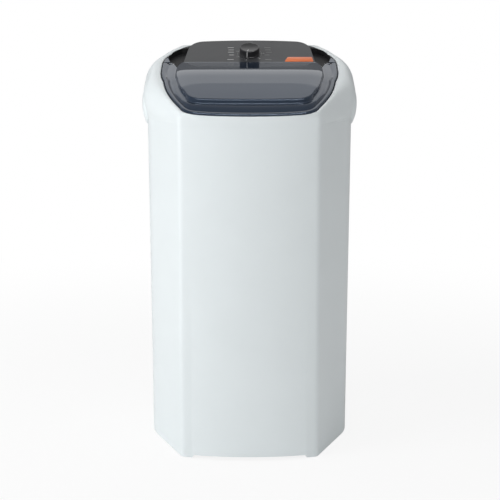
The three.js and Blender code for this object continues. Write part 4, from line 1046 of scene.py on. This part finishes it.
def lid_skirt(body, lid, well):
    """The lid's edge inside the opening, from under the rim round to its top."""
    depth = body.well_depth + lid.proud - 2.7 * MM
    radius, chamfer = 4.5 * MM, 4 * MM
    rounded = [lid_ring(body, lid, well, lid.gap + radius * (1 - c), radius * (1 - s) - lid.bead)
               for c, s in quarter(6)]
    inside = lid.gap + lid.wall
    return [
        lid_ring(body, lid, well, inside + chamfer, lid.wall),
        lid_ring(body, lid, well, inside, lid.wall + chamfer),
        lid_ring(body, lid, well, inside, depth),
        lid_ring(body, lid, well, lid.gap, depth),
        *rounded,
    ]


def flange_rise(lid, share):
    """Height of the flange over the rim's plane: the bead, a ledge, then a climb that ends flat."""
    if share < lid.bead_share:
        return lid.bead
    if share < lid.ledge_share:
        fallen = (share - lid.bead_share) / (lid.ledge_share - lid.bead_share)
        return lid.bead - (lid.bead + lid.ledge_drop) * fallen
    climb = (share - lid.ledge_share) / (1 - lid.ledge_share)
    return (lid.swell + lid.ledge_drop) * (1 - (1 - climb) ** 2.2) - lid.ledge_drop


def lid_flange(body, lid, rings, wall, steps=14):
    """The flange between the rim and the foot of the raised middle."""
    outer = inset(rings["well"], lid.gap + 5 * MM + wall)
    foot = inset(rings["raised"], wall - 6 * MM)
    made = []
    for step in range(1, steps):
        share = step / steps
        ring = []
        for rim, root in zip(outer, foot):
            place = rim.lerp(root, share)
            rise = flange_rise(lid, share) * step_share(body, lid, root)
            ring.append(Vector((place.x, place.y, rim_height(body, lid, place.y) + rise - wall)))
        made.append(ring)
    return made


def lid_step(body, lid, raised, wall):
    """The raised middle's flank, from its foot to the edge of its top."""
    fillet, fillet_width, rounding = 2.5 * MM, 4.5 * MM, 3.5 * MM
    made = []
    for c, s in quarter(4):
        made.append([Vector((p.x, p.y, rim_height(body, lid, p.y) - wall
                             + step_share(body, lid, p) * (lid.swell + fillet * (1 - c))))
                     for p in inset(raised, wall - fillet_width * (1 - s))])
    for c, s in quarter(5):
        made.append([Vector((p.x, p.y, raised_height(body, lid, p.x, p.y) - wall
                             - step_share(body, lid, p) * rounding * (1 - s)))
                     for p in inset(raised, wall + rounding * (1 - c))])
    return made


def lid_top(body, lid, bm, edge, wall, spacing=6 * MM, columns=26):
    """Lays the raised top inside its edge, cut into small tiles that follow its profile."""
    tiles = closed_by_face(bm, edge)
    lines = [p.x for p in raised_profile(body, lid)[1:-1]]
    front, rear = min(p.y for p in edge), max(p.y for p in edge)
    lines += [front + spacing * i for i in range(1, int((rear - front) / spacing))]
    cuts = [((0, y, 0), (0, 1, 0)) for y in lines]
    reach = max(p.x for p in edge)
    cuts += [((side * x, 0, 0), (1, 0, 0)) for side in (-1, 1)
             for x in (reach * i / columns for i in range(0 if side > 0 else 1, columns))]
    for place, normal in cuts:
        geometry = dict.fromkeys([*(v for f in tiles for v in f.verts), *(e for f in tiles for e in f.edges),
                                  *tiles])
        made = bmesh.ops.bisect_plane(bm, geom=list(geometry), dist=1e-6, plane_co=place, plane_no=normal)
        tiles = [f for f in made["geom"] if isinstance(f, bmesh.types.BMFace)]
    for vert in dict.fromkeys(v for f in tiles for v in f.verts):
        vert.co.z = raised_height(body, lid, vert.co.x, vert.co.y) - wall


class DRYER_OT_lid(bpy.types.Operator):
    """Grow the smoked lid, with its rounded rim, raised middle, front facet and two rear notches"""

    bl_idname = "dryer.lid"
    bl_label = "Lid"

    def execute(self, context):
        body, lid = context.scene.dryer_body, context.scene.dryer_lid
        rings = matched_plans(body)
        inner = lid_step(body, lid, rings["raised"], lid.wall)
        outer = lid_step(body, lid, rings["raised"], 0.0)
        bm = skin([
            *reversed(inner),
            *reversed(lid_flange(body, lid, rings, lid.wall, 7)),
            *lid_skirt(body, lid, rings["well"]),
            *lid_flange(body, lid, rings, 0.0),
            *outer,
        ])
        lid_top(body, lid, bm, inner[-1], lid.wall, 12 * MM)
        lid_top(body, lid, bm, outer[-1], 0.0)
        bmesh.ops.recalc_face_normals(bm, faces=bm.faces)
        bm = carved(bm, lid_cuts(body, lid))
        for side in (-1, 1):
            add_into(bm, knuckle(side))
        finish_piece(bm, "smoked_lid", "lid", "smoked_plastic", replaces=["lid"], degrees=28)
        return {"FINISHED"}


def lid_cuts(body, lid):
    """What lies behind the lid's rear edge, the slots for the hinge ears and the two notches."""
    tools = [brick((-0.4, lid.rear, 0.8), (0.4, 0.4, 1.2))]
    for side, name in ((-1, "left"), (1, "right")):
        low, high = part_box(f"lid_hinge_bracket_{name}")
        middle = (low.x + high.x) / 2
        for ear in (-1, 1):
            near, far = sorted((middle + ear * 5.0 * MM, middle + ear * 8.9 * MM))
            tools.append(brick((near, low.y - 3 * MM, low.z), (far, lid.rear + MM, low.z + 60 * MM)))
        tools.append(slab([(p.x, p.y, rim_height(body, lid, p.y) - 6 * MM) for p in notch_outline(side)],
                          (0, 0, 60 * MM)))
    return tools


def notch_outline(side):
    """An arrow head that points forward, beside the hinge."""
    return sided(side, ((180, 85), (194.5, 43), (207, 85)))


def knuckle(side):
    """The boss under the lid's rim that a hinge pin passes through."""
    low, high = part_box("lid_hinge_pin_left" if side < 0 else "lid_hinge_pin_right")
    middle = (low + high) / 2
    ring = lathe([(3.4, -5), (5.5, -5), (5.5, 5), (3.4, 5)], 32)
    bmesh.ops.rotate(ring, verts=ring.verts, matrix=Matrix.Rotation(math.pi / 2, 3, "Y"))
    bmesh.ops.translate(ring, verts=ring.verts, vec=middle)
    web = brick(middle + Vector((-5 * MM, -5 * MM, 3.6 * MM)), middle + Vector((5 * MM, 3 * MM, 6 * MM)))
    add_into(ring, web)
    return ring
# ---------------------------------------------------------------- control panel


class DRYER_PG_panel(bpy.types.PropertyGroup):
    front: length("Panel front", "Where the panel's lower edge lies", 94 * MM)
    slope: FloatProperty(name="Panel slope", description="How steeply the panel climbs to the rear",
                         default=math.radians(26.0), subtype="ANGLE")
    knob_along: length("Knob place", "From the panel's lower edge, along its slope", 46 * MM)
    knob_radius: length("Knob radius", "At its skirt", 28 * MM)
    knob_height: length("Knob height", "Above the panel", 21 * MM)
    flutes: IntProperty(name="Flutes", description="Finger flutes round the knob", default=48, min=8)
    dial_start: FloatProperty(name="Dial start", description="Where the dial's first mark stands",
                              default=math.radians(-14.0), subtype="ANGLE")
    dial_sweep: FloatProperty(name="Dial sweep", description="From the dial's first mark to its last",
                              default=math.radians(300.0), subtype="ANGLE")
    dial_radius: length("Dial radius", "From the knob's axis to the marks", 33 * MM)
    dial_marks: IntProperty(name="Dial marks", description="Marks round the knob", default=31, min=2)
    print_height: length("Print height", "Thickness of the printed ink", 0.12 * MM)


def on_panel(panel, body, turn=0.0, along=0.0, across=0.0, up=0.0):
    """Places what was drawn flat: x across the panel, y up its slope, z away from it."""
    z = cover_height(body, panel.front) + MM
    return (Matrix.Translation((0, panel.front, z)) @ Matrix.Rotation(panel.slope, 4, "X")
            @ Matrix.Translation((across, along, up)) @ Matrix.Rotation(turn, 4, "Z"))


def panel_outline(setback=0.0):
    """The panel's outline in its own plane: straight sides that lean in, round shoulders, a bowed top."""
    foot, shoulder, crown = Vector((178, 0)), Vector((169, 70)), Vector((0, 125))
    turn = Vector((130, 119))
    half = [foot, shoulder]
    half += curve_through(shoulder, Vector((164, 112)), turn, 16)
    half += curve_through(turn, Vector((70, 125)), crown, 10)
    points = half + [Vector((-p.x, p.y)) for p in reversed(half[:-1])]
    return inset([p * MM for p in points], setback)


def panel_prism(panel, body, low, high, setback=0.0):
    """A solid over the panel's outline, between two heights from the panel's plane."""
    solid = slab([Vector((p.x, p.y, 0)) for p in panel_outline(setback)], (0, 0, high - low))
    return moved(solid, on_panel(panel, body, up=low))


def spindle_hole(panel, body):
    hole = turned_bar(4.5 * MM, (0, 0, -12 * MM), (0, 0, 12 * MM), 32)
    return moved(hole, on_panel(panel, body, along=panel.knob_along))


class DRYER_OT_fascia(bpy.types.Operator):
    """Cut the control fascia, crowned at its top, with the hole for the timer's spindle"""

    bl_idname = "dryer.fascia"
    bl_label = "Fascia"

    def execute(self, context):
        body, panel = context.scene.dryer_body, context.scene.dryer_panel
        plate = carved(panel_prism(panel, body, -2 * MM, 0.0), [spindle_hole(panel, body)])
        finish_piece(plate, "control_fascia_plate", "root", "panel_plastic", replaces=["control_fascia"],
                     bevel=0.8 * MM, segments=3)
        return {"FINISHED"}


class DRYER_OT_housing(bpy.types.Operator):
    """Mould the dark housing: a tray round the panel, a hollow wedge and the pockets for the hinges"""

    bl_idname = "dryer.housing"
    bl_label = "Control housing"

    def execute(self, context):
        body, panel = context.scene.dryer_body, context.scene.dryer_panel
        well = matched_plans(body)["well"]
        seat_depth = 2.3 * MM
        wedge = panel_prism(panel, body, -84 * MM, -seat_depth)
        under = slab(draped(body, inset(well, TRAY_GAP), TRAY_DEPTH), (0, 0, -0.2))
        wedge = carved(wedge, [all_ahead(panel.front), under])
        pockets = [slab(draped(body, pocket_plan(side), 13 * MM), (0, 0, 60 * MM)) for side in (-1, 1)]
        rooms = [bracket_room(body, side) for side in (-1, 1)]
        tray = carved(housing_tray(body, well),
                      [all_ahead(90 * MM), all_ahead(panel.front, 186 * MM), *pockets, *rooms])
        whole = carved(tray, [wedge], "UNION")
        hollow = panel_prism(panel, body, -0.17, -5.3 * MM, 3 * MM)
        seat = panel_prism(panel, body, -seat_depth, 60 * MM, -TRAY_GAP)
        whole = carved(whole, [hollow, seat, spindle_hole(panel, body)])
        caps = bmesh.new()
        for side in (-1, 1):
            # the dark floor under each notch is painted shade seen through the notch
            add_into(whole, notch_shade_floor(body, side))
            add_into(caps, horn_cap(body, side))
        finish_piece(whole, "control_housing_moulded", "root", "housing",
                     ["control_housing"], degrees=28)
        finish_piece(caps, "housing_horn_caps", "root", "smoked_plastic")
        return {"FINISHED"}


# The tray's clearance in the opening, its depth below the cover and its rim's height and rounding
TRAY_GAP, TRAY_DEPTH, TRAY_RIM, TRAY_ROUNDING = 0.4 * MM, 17.7 * MM, 1.6 * MM, 4 * MM


def housing_tray(body, well):
    """The tray that fills the rear of the opening, its rounded rim level with the lid's."""
    rounded = [draped(body, inset(well, TRAY_GAP + TRAY_ROUNDING * (1 - c)),
                      TRAY_ROUNDING * (1 - s) - TRAY_RIM)
               for c, s in quarter(5)]
    return stacked([draped(body, inset(well, TRAY_GAP), TRAY_DEPTH), *rounded])


def all_ahead(front, half=0.4):
    """What is cut away ahead of a line across the machine, as far as a half width."""
    return brick((-half, -0.4, 0.8), (half, front, 1.2))


def notch_shade_floor(body, side):
    """A dark floor of housing plastic that reaches forward under the lid's notch: painted shade for what is
    seen through the notch.
    """
    outline = sided(side, ((172, 42), (205, 42), (205, 96), (172, 96)))
    return slab(draped(body, outline, 15.6 * MM), (0, 0, -1.8 * MM))


def horn_cap(body, side):
    """A smoked plate on the tray's horn, which carries on the lid's rim behind the hinge."""
    outline = sided(side, ((214.8, 88), (231.4, 88), (231.2, 97), (228.6, 109), (224.5, 120), (222, 120)))
    return slab(draped(body, outline, -TRAY_RIM), (0, 0, 1.3 * MM))


def pocket_plan(side):
    """The dark pocket between the panel's side and the tray's horn."""
    return sided(side, ((160, 80), (214, 80), (222, 122), (219, 150), (206, 178), (188, 198), (160, 204)))


def bracket_room(body, side):
    """Room under the horn for a hinge bracket."""
    low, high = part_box("lid_hinge_bracket_left" if side < 0 else "lid_hinge_bracket_right")
    floor = cover_height(body, 94 * MM) - 13 * MM
    return brick((low.x - 2 * MM, 80 * MM, floor), (high.x + 2 * MM, high.y + 2 * MM, high.z + 1.2 * MM))


class DRYER_OT_timer_knob(bpy.types.Operator):
    """Turn the timer knob: a thin skirt, a fluted grip, a dished top and a pale pointer"""

    bl_idname = "dryer.timer_knob"
    bl_label = "Timer knob"

    def execute(self, context):
        body, panel = context.scene.dryer_body, context.scene.dryer_panel
        r, h = panel.knob_radius / MM, panel.knob_height / MM
        knob = lathe([(4.4, 0.8), (r - 0.4, 0.8), (r, 1.2), (r, 2.6), (r - 0.4, 3.1), (r - 1.0, 3.3),
                      (r - 1.0, 4), (r - 1.2, h - 3), (r - 1.2, h - 2.0), (r - 1.5, h - 1.2),
                      (r - 2.1, h - 0.5), (r - 2.9, h - 0.2), (r - 4.1, h - 0.2), (r - 4.6, h - 0.7),
                      (r - 5.2, h - 0.9), (0, h - 1.2), (0, h - 6), (4.4, h - 6)], 240)
        flute(knob, panel)
        place = on_panel(panel, body, panel.dial_start, panel.knob_along)
        finish_piece(moved(knob, place), "timer_knob_turned", "timer_knob", "knob",
                     ["timer_knob"], degrees=40)
        half, side, dish = 0.9 * MM, (r - 1.3) * MM, (r - 5.4) * MM
        pointer = brick((-half, -side - 0.7 * MM, 3.4 * MM), (half, -side + 1.2 * MM, (h - 2) * MM))
        add_into(pointer, brick((-half, -dish, (h - 1.6) * MM), (half, -dish + 9 * MM, (h - 0.6) * MM)))
        eased(pointer, pointer.edges, 0.15 * MM)
        finish_piece(moved(pointer, place), "timer_knob_pointer", "timer_knob", "print_pale")
        return {"FINISHED"}


def flute(knob, panel):
    """Presses fine finger flutes into the knob's side."""
    for vert in knob.verts:
        radius, height = vert.co.xy.length, vert.co.z
        if radius < panel.knob_radius - 2 * MM or not 3.5 * MM < height < panel.knob_height - 2.5 * MM:
            continue
        wave = 0.5 + 0.5 * math.cos(panel.flutes * math.atan2(vert.co.y, vert.co.x))
        vert.co.xy *= 1 - 0.8 * MM * wave ** 2 / radius


def stroke_mesh(width, high, thick):
    """A flat printed bar centred on its own middle."""
    x, y = width / 2, high / 2
    return slab([(-x, -y, 0), (x, -y, 0), (x, y, 0), (-x, y, 0)], (0, 0, thick))


def figure_mesh(text, size, thick):
    """Plain figures as a solid, centred on their own middle."""
    curve = bpy.data.curves.new("figure", "FONT")
    curve.body = text
    curve.size = size
    curve.extrude = thick / 2
    curve.align_x = "CENTER"
    curve.align_y = "CENTER"
    curve.resolution_u = 3
    item = bpy.data.objects.new("figure", curve)
    bpy.context.scene.collection.objects.link(item)
    mesh = bpy.data.meshes.new_from_object(item.evaluated_get(bpy.context.evaluated_depsgraph_get()))
    bm = bmesh.new()
    bm.from_mesh(mesh)
    bpy.data.meshes.remove(mesh)
    bpy.data.objects.remove(item)
    bpy.data.curves.remove(curve)
    bmesh.ops.remove_doubles(bm, verts=bm.verts, dist=0.002 * MM)
    return bm


class DRYER_OT_panel_print(bpy.types.Operator):
    """Print the dial's marks and figures, the short plain bars beside it and the bare accent strip"""

    bl_idname = "dryer.panel_print"
    bl_label = "Panel print"

    def execute(self, context):
        body, panel = context.scene.dryer_body, context.scene.dryer_panel
        thick, up = panel.print_height, 0.02 * MM
        marks = bmesh.new()
        for i in range(panel.dial_marks):
            turn = panel.dial_start - panel.dial_sweep * i / (panel.dial_marks - 1)
            major = i % 5 == 0
            wide, high = (1.3, 3.4) if major else (0.6, 1.8)
            bar = stroke_mesh(wide * MM, high * MM, thick)
            bmesh.ops.translate(bar, verts=bar.verts, vec=(0, -panel.dial_radius, 0))
            add_into(marks, bar, on_panel(panel, body, turn, panel.knob_along, 0.0, up))
            if major:
                figure = figure_mesh(str(i // 5 * 5), 4.6 * MM, thick)
                reach = panel.dial_radius + 5.2 * MM
                across, along = -reach * math.sin(-turn), -reach * math.cos(turn)
                add_into(marks, figure, on_panel(panel, body, 0.0, panel.knob_along + along, across,
                                                 up + thick / 2))
        bars = bmesh.new()
        for side in (-1, 1):
            for row, (wide, along) in enumerate(((17, 82), (15, 69), (16, 56), (13, 40), (17, 14))):
                shift = 43 if side < 0 else 41 + 2 * (row % 3)
                bar = stroke_mesh(wide * MM, 2.2 * MM, thick)
                add_into(bars if side > 0 else marks, bar,
                         on_panel(panel, body, 0.0, along * MM, side * (shift + wide / 2) * MM, up))
        strip = accent_strip(panel, body)
        for bm, name, finish in ((marks, "dial_print", "print_pale"), (bars, "panel_bars", "print_dim"),
                                 (strip, "accent_strip", "accent")):
            finish_piece(bm, name, "root", finish)
        return {"FINISHED"}


def accent_strip(panel, body):
    """The bare coloured strip at the panel's lower right, slanted at its left end."""
    thick = 0.5 * MM
    outline = [(95, 2.5), (173.5, 2.5), (170.5, 28), (104, 28)]
    strip = slab([(x * MM, y * MM, 0) for x, y in outline], (0, 0, thick))
    eased(strip, [e for e in strip.edges if abs(e.verts[0].co.z - e.verts[1].co.z) > thick / 2], 3 * MM, 6)
    eased(strip, [e for e in strip.edges if min(v.co.z for v in e.verts) > thick / 2], 0.2 * MM)
    return moved(strip, on_panel(panel, body, up=0.01 * MM))
# ---------------------------------------------------------------- basket


class DRYER_PG_basket(bpy.types.PropertyGroup):
    radius: length("Basket radius", "Outside of the drawn wall", 212 * MM)
    wall: length("Basket wall", "Thickness of the sheet", 1.2 * MM)
    low: length("Basket foot", "Lower edge of the perforated band", 404 * MM)
    high: length("Basket top", "Upper edge of the perforated band", 780 * MM)
    columns: IntProperty(name="Columns", description="Holes round the basket", default=64, min=8)
    rows: IntProperty(name="Rows", description="Rows of holes, every other one shifted by half", default=16,
                      min=2)
    hole: length("Hole", "Width of a hole", 6.5 * MM)


def tile_corners(pitch, rise):
    """Twelve places round a tile's edge, a quarter pitch apart, in the order of a circle's points."""
    x, y = pitch / 2, rise / 2
    right = [(x, 0), (x, y), (x / 2, y), (0, y), (-x / 2, y), (-x, y)]
    return [Vector((a, b, 0)) for a, b in right + [(-a, -b) for a, b in right]]


def perforated_row(basket, pitch, rise):
    """One row of holes, flat, from left to right."""
    tile = bmesh.new()
    hole = bmesh.ops.create_circle(tile, cap_ends=False, segments=12, radius=basket.hole / 2)["verts"]
    hole.sort(key=lambda v: math.atan2(v.co.y, v.co.x) % math.tau)
    grown(tile, hole, tile_corners(pitch, rise))
    row = bmesh.new()
    for column in range(basket.columns):
        add_into(row, tile, Matrix.Translation((column * pitch, 0, 0)))
    return row


def drawn_wall(basket):
    """The perforated band rolled round, with its plain rims: a rolled top edge and a turned-in foot."""
    pitch = math.tau * basket.radius / basket.columns
    rise = (basket.high - basket.low) / basket.rows
    wall = bmesh.new()
    row = perforated_row(basket, pitch, rise)
    for i in range(basket.rows):
        shift = 0.5 * (i % 2) * pitch
        add_into(wall, row, Matrix.Translation((shift, basket.low + (i + 0.5) * rise, 0)))
    for vert in wall.verts:
        turn = vert.co.x / basket.radius
        height = vert.co.y
        vert.co = (basket.radius * math.cos(turn), basket.radius * math.sin(turn), height)
    bmesh.ops.remove_doubles(wall, verts=wall.verts, dist=0.05 * MM)
    r = basket.radius
    rim_on(wall, basket.high, [(r, 790 * MM), (r - 0.3 * MM, 801.5 * MM), (r - 4 * MM, 801.9 * MM)])
    rim_on(wall, basket.low, [(r, 396 * MM), (r - 1.2 * MM, 390.5 * MM), (r - 4 * MM, 386.6 * MM),
                              (r - 9 * MM, 384.8 * MM), (r - 15 * MM, 384.6 * MM)])
    return wall


def rim_on(wall, height, profile):
    """Carries the band's edge at a height on through a profile of radii and heights."""
    edge = sorted((v for v in wall.verts if abs(v.co.z - height) < 0.1 * MM),
                  key=lambda v: math.atan2(v.co.y, v.co.x))
    for radius, z in profile:
        places = [Vector((*(v.co.xy.normalized() * radius), z)) for v in edge]
        edge = grown(wall, edge, places)


class DRYER_OT_basket(bpy.types.Operator):
    """Draw the stainless basket, with staggered drain holes all round, and turn its balance ring"""

    bl_idname = "dryer.basket"
    bl_label = "Basket"

    def execute(self, context):
        basket = context.scene.dryer_basket
        wall = drawn_wall(basket)
        bmesh.ops.recalc_face_normals(wall, faces=wall.faces)
        piece = finish_piece(wall, "spin_basket_drawn", "basket", "stainless", replaces=["spin_basket"],
                             degrees=50)
        thick = piece.modifiers.new("sheet", "SOLIDIFY")
        thick.thickness = basket.wall
        thick.offset = -1.0
        ring = lathe([(182, 802.3), (211.6, 802.3), (212.3, 801.4), (212.3, 798.6), (215, 798.6),
                      (215, 816), (213.8, 820.4), (211, 823.4), (207, 824.6), (200, 825.4), (192, 825.6),
                      (187, 825), (182.5, 822), (179.4, 818), (178.2, 812), (178.6, 806.5), (180, 803.4)],
                     160)
        finish_piece(ring, "balance_ring_moulded", "basket", "ring_plastic",
                     ["balance_ring"], degrees=40)
        return {"FINISHED"}


# ---------------------------------------------------------------- studio


class DRYER_PG_studio(bpy.types.PropertyGroup):
    camera_distance: length("Camera distance", "From the machine's middle to the camera", 3.480)
    camera_height: length("Camera height", "Above the floor", 1.165)
    camera_dip: FloatProperty(name="Camera dip", description="How far the camera looks down",
                              default=math.radians(11.0), subtype="ANGLE")
    lens: FloatProperty(name="Focal length", description="On a 36 mm sensor, in millimetres", default=94.0,
                        min=1.0)
    shift_across: FloatProperty(name="Shift across", description="Of the lens, in picture widths",
                                default=0.001)
    shift_up: FloatProperty(name="Shift up", description="Of the lens, in picture widths", default=0.0078)
    key_power: FloatProperty(name="Key light", description="Watts of the large lamp at the left",
                             default=106.0, min=0.0)
    fill_power: FloatProperty(name="Fill light", description="Watts of the lamp above the camera",
                              default=13.0, min=0.0)
    back_power: FloatProperty(name="Back light", description="Watts of the wide soft lamp behind and above",
                              default=34.0, min=0.0)
    strip_power: FloatProperty(name="Strip light", description="Watts of the strip that only glosses show",
                               default=44.0, min=0.0)
    sky: FloatProperty(name="Sky", description="Strength of the pale surround", default=0.47, min=0.0)


def area_lamp(name, place, target, size, power):
    data = bpy.data.lights.new(name, "AREA")
    data.shape = "RECTANGLE"
    data.size, data.size_y = size
    data.energy = power
    lamp = bpy.data.objects.new(name, data)
    lamp.location = place
    lamp.rotation_euler = (Vector(target) - Vector(place)).to_track_quat("-Z", "Y").to_euler()
    bpy.context.scene.collection.objects.link(lamp)
    return lamp


def seen_directly(shader):
    """1 for what the camera sees, through glass too, and 0 for light that falls on the object."""
    path = shader.add("ShaderNodeLightPath").socket.node
    camera, through = (Wire(shader, path.outputs[name]) for name in
                       ("Is Camera Ray", "Is Transmission Ray"))
    return (camera + through).above(0.5)


def studio_world(strength):
    """An even pale surround, dimmer low down behind the machine."""
    world = bpy.data.worlds.new("studio")
    world.use_nodes = True
    surround = NodeTree(world.node_tree)
    background = world.node_tree.nodes["Background"]
    surround.feed(background.inputs["Color"], (1.0, 1.0, 1.0))
    _x, y, z = surround.axes()
    low_behind = z.between(0.42, 0.39) * y.between(0.6, 0.75)
    lit = (1.0 - low_behind * 0.5) * strength
    surround.feed(background.inputs["Strength"], lit + seen_directly(surround) * (1.0 - lit))
    bpy.context.scene.world = world


class DRYER_OT_studio(bpy.types.Operator):
    """Lay the pale floor, hang the soft lamps and place the camera"""

    bl_idname = "dryer.studio"
    bl_label = "Studio"

    def execute(self, context):
        studio = context.scene.dryer_studio
        lay_floor(tuple(context.scene.dryer_colours.floor))
        middle = (0, 0, 0.55)
        # The key lamp lights without glints; the strip shows only as thin lines on rounded edges
        key = area_lamp("key_lamp", (-3.6, -2.0, 2.0), middle, (2.8, 2.8), studio.key_power)
        key.visible_glossy = False
        area_lamp("fill_lamp", (0.4, -3.8, 2.8), middle, (2.4, 1.6), studio.fill_power)
        area_lamp("back_lamp", (0, 3.2, 3.8), (0, 0, 3.8), (6.0, 2.8), studio.back_power)
        strip = area_lamp("strip_lamp", (0, -1.2, 3.2), (0, -0.2, 0.95), (2.6, 0.25), studio.strip_power)
        strip.visible_diffuse = False
        studio_world(studio.sky)
        data = bpy.data.cameras.new("camera")
        data.lens = studio.lens
        data.sensor_width = 36.0
        data.shift_x, data.shift_y = studio.shift_across, studio.shift_up
        camera = bpy.data.objects.new("camera", data)
        camera.location = (0, -studio.camera_distance, studio.camera_height)
        camera.rotation_euler = (math.pi / 2 - studio.camera_dip, 0, 0)
        context.scene.collection.objects.link(camera)
        context.scene.camera = camera
        context.scene.view_settings.view_transform = "Standard"
        return {"FINISHED"}


def lay_floor(colour):
    """A floor that keeps the object's shadow and shows pale where nothing shades it."""
    bm = bmesh.new()
    bmesh.ops.create_grid(bm, x_segments=1, y_segments=1, size=12.0)
    mesh = bpy.data.meshes.new("floor")
    bm.to_mesh(mesh)
    bm.free()
    floor = bpy.data.objects.new("floor", mesh)
    bpy.context.scene.collection.objects.link(floor)
    ground = Finish("studio_floor", Roughness=0.9)
    ground.set("Base Color", colour)
    x, y, _z = ground.axes()
    away = ((x * x + y * y) ** 0.5).between(0.6, 2.6)
    glow = ground.add("ShaderNodeEmission", {}, {"Color": (1.0, 1.0, 1.0), "Strength": 1.0})
    share = seen_directly(ground) * (away * 0.14 + 0.86)
    matt = Wire(ground, ground.surface.outputs[0])
    mix = ground.add("ShaderNodeMixShader", {}, {0: share, 1: matt, 2: glow})
    ground.feed(ground.tree.nodes["Material Output"].inputs["Surface"], mix)
    mesh.materials.append(ground.material)
# ---------------------------------------------------------------- everything else


class DRYER_OT_finishes(bpy.types.Operator):
    """Mix the plastics, metals, rubber and inks"""

    bl_idname = "dryer.finishes"
    bl_label = "Finishes"

    def execute(self, context):
        finishes.update(make_finishes(context.scene.dryer_colours))
        for node, item in nodes.items():
            for slot in item.material_slots:
                slot.material = finishes[slot_of_node[node]]
        return {"FINISHED"}


class DRYER_OT_mechanism(bpy.types.Operator):
    """Round the edges of the turned, pressed and cast pieces inside"""

    bl_idname = "dryer.mechanism"
    bl_label = "Mechanism"

    def execute(self, context):
        for node, bevel in EDGE_OF_NODE.items():
            refined(node, bevel * MM)
        return {"FINISHED"}


# Rounding of each remaining piece's edges, in millimetres
EDGE_OF_NODE = {
    "base_plate": 0.8, "foot_pad_1": 1.2, "foot_pad_2": 1.2, "foot_pad_3": 1.2, "foot_pad_4": 1.2,
    "rear_cover": 0.5, "drain_pipe": 0.4, "cord_gland": 0.5, "outer_tub": 0.6, "tub_collar": 0.8,
    "lid_seal": 0.4, "lid_hinge_bracket_left": 0.3, "lid_hinge_pin_left": 0.4,
    "lid_hinge_bracket_right": 0.3, "lid_hinge_pin_right": 0.4, "timer_body": 0.8, "timer_spindle": 0.4,
    "lid_switch": 0.4, "lid_switch_plunger": 0.3, "basket_floor": 0.6, "basket_hub": 0.8,
    "basket_nut": 0.5, "drive_shaft": 0.5, "motor_plate": 0.6, "suspension_spring_1": 0.1,
    "suspension_spring_2": 0.1, "suspension_spring_3": 0.1, "bearing_housing": 1.0,
    "shaft_bearing_lower": 0.4, "shaft_bearing_upper": 0.4, "motor_bearing": 0.4, "shaft_seal": 0.4,
    "motor_housing": 0.8, "motor_stator": 0.5, "motor_rotor": 0.5, "cooling_fan": 0.4,
    "brake_drum": 0.6, "brake_lever": 0.5, "brake_shoe": 0.4, "brake_pivot_pin": 0.4,
    "cable_anchor": 0.6, "brake_cable": 0.1, "wiring_harness": 0.1, "capacitor": 0.6,
    "capacitor_clip": 0.3,
}

STEPS = (DRYER_OT_finishes, DRYER_OT_cabinet, DRYER_OT_top_cover, DRYER_OT_lid, DRYER_OT_fascia,
         DRYER_OT_housing, DRYER_OT_timer_knob, DRYER_OT_panel_print, DRYER_OT_basket,
         DRYER_OT_mechanism, DRYER_OT_studio)
GROUPS = {
    "dryer_body": DRYER_PG_body,
    "dryer_lid": DRYER_PG_lid,
    "dryer_panel": DRYER_PG_panel,
    "dryer_basket": DRYER_PG_basket,
    "dryer_colours": DRYER_PG_colours,
    "dryer_studio": DRYER_PG_studio,
}


# ---------------------------------------------------------------- sidebar and registration


class DRYER_PT_sidebar(bpy.types.Panel):
    """The dryer's pieces, sizes and colours"""

    bl_idname = "DRYER_PT_sidebar"
    bl_label = "Spin Dryer"
    bl_space_type = "VIEW_3D"
    bl_region_type = "UI"
    bl_category = "Dryer"

    def draw(self, context):
        layout = self.layout
        for step in STEPS:
            layout.operator(step.bl_idname)
        for name, group in GROUPS.items():
            box = layout.box()
            box.label(text=name.replace("dryer_", "").replace("_", " ").capitalize())
            for key in group.__annotations__:
                box.prop(getattr(context.scene, name), key)


def register():
    for group in GROUPS.values():
        bpy.utils.register_class(group)
    for name, group in GROUPS.items():
        setattr(bpy.types.Scene, name, PointerProperty(type=group))
    for item in (*STEPS, DRYER_PT_sidebar):
        bpy.utils.register_class(item)


def unregister():
    for item in (DRYER_PT_sidebar, *reversed(STEPS)):
        bpy.utils.unregister_class(item)
    for name in GROUPS:
        delattr(bpy.types.Scene, name)
    for group in reversed(GROUPS.values()):
        bpy.utils.unregister_class(group)


def main():
    register()
    for step in STEPS:
        section, name = step.bl_idname.split(".")
        getattr(getattr(bpy.ops, section), name)()


if __name__ == "__main__":
    main()
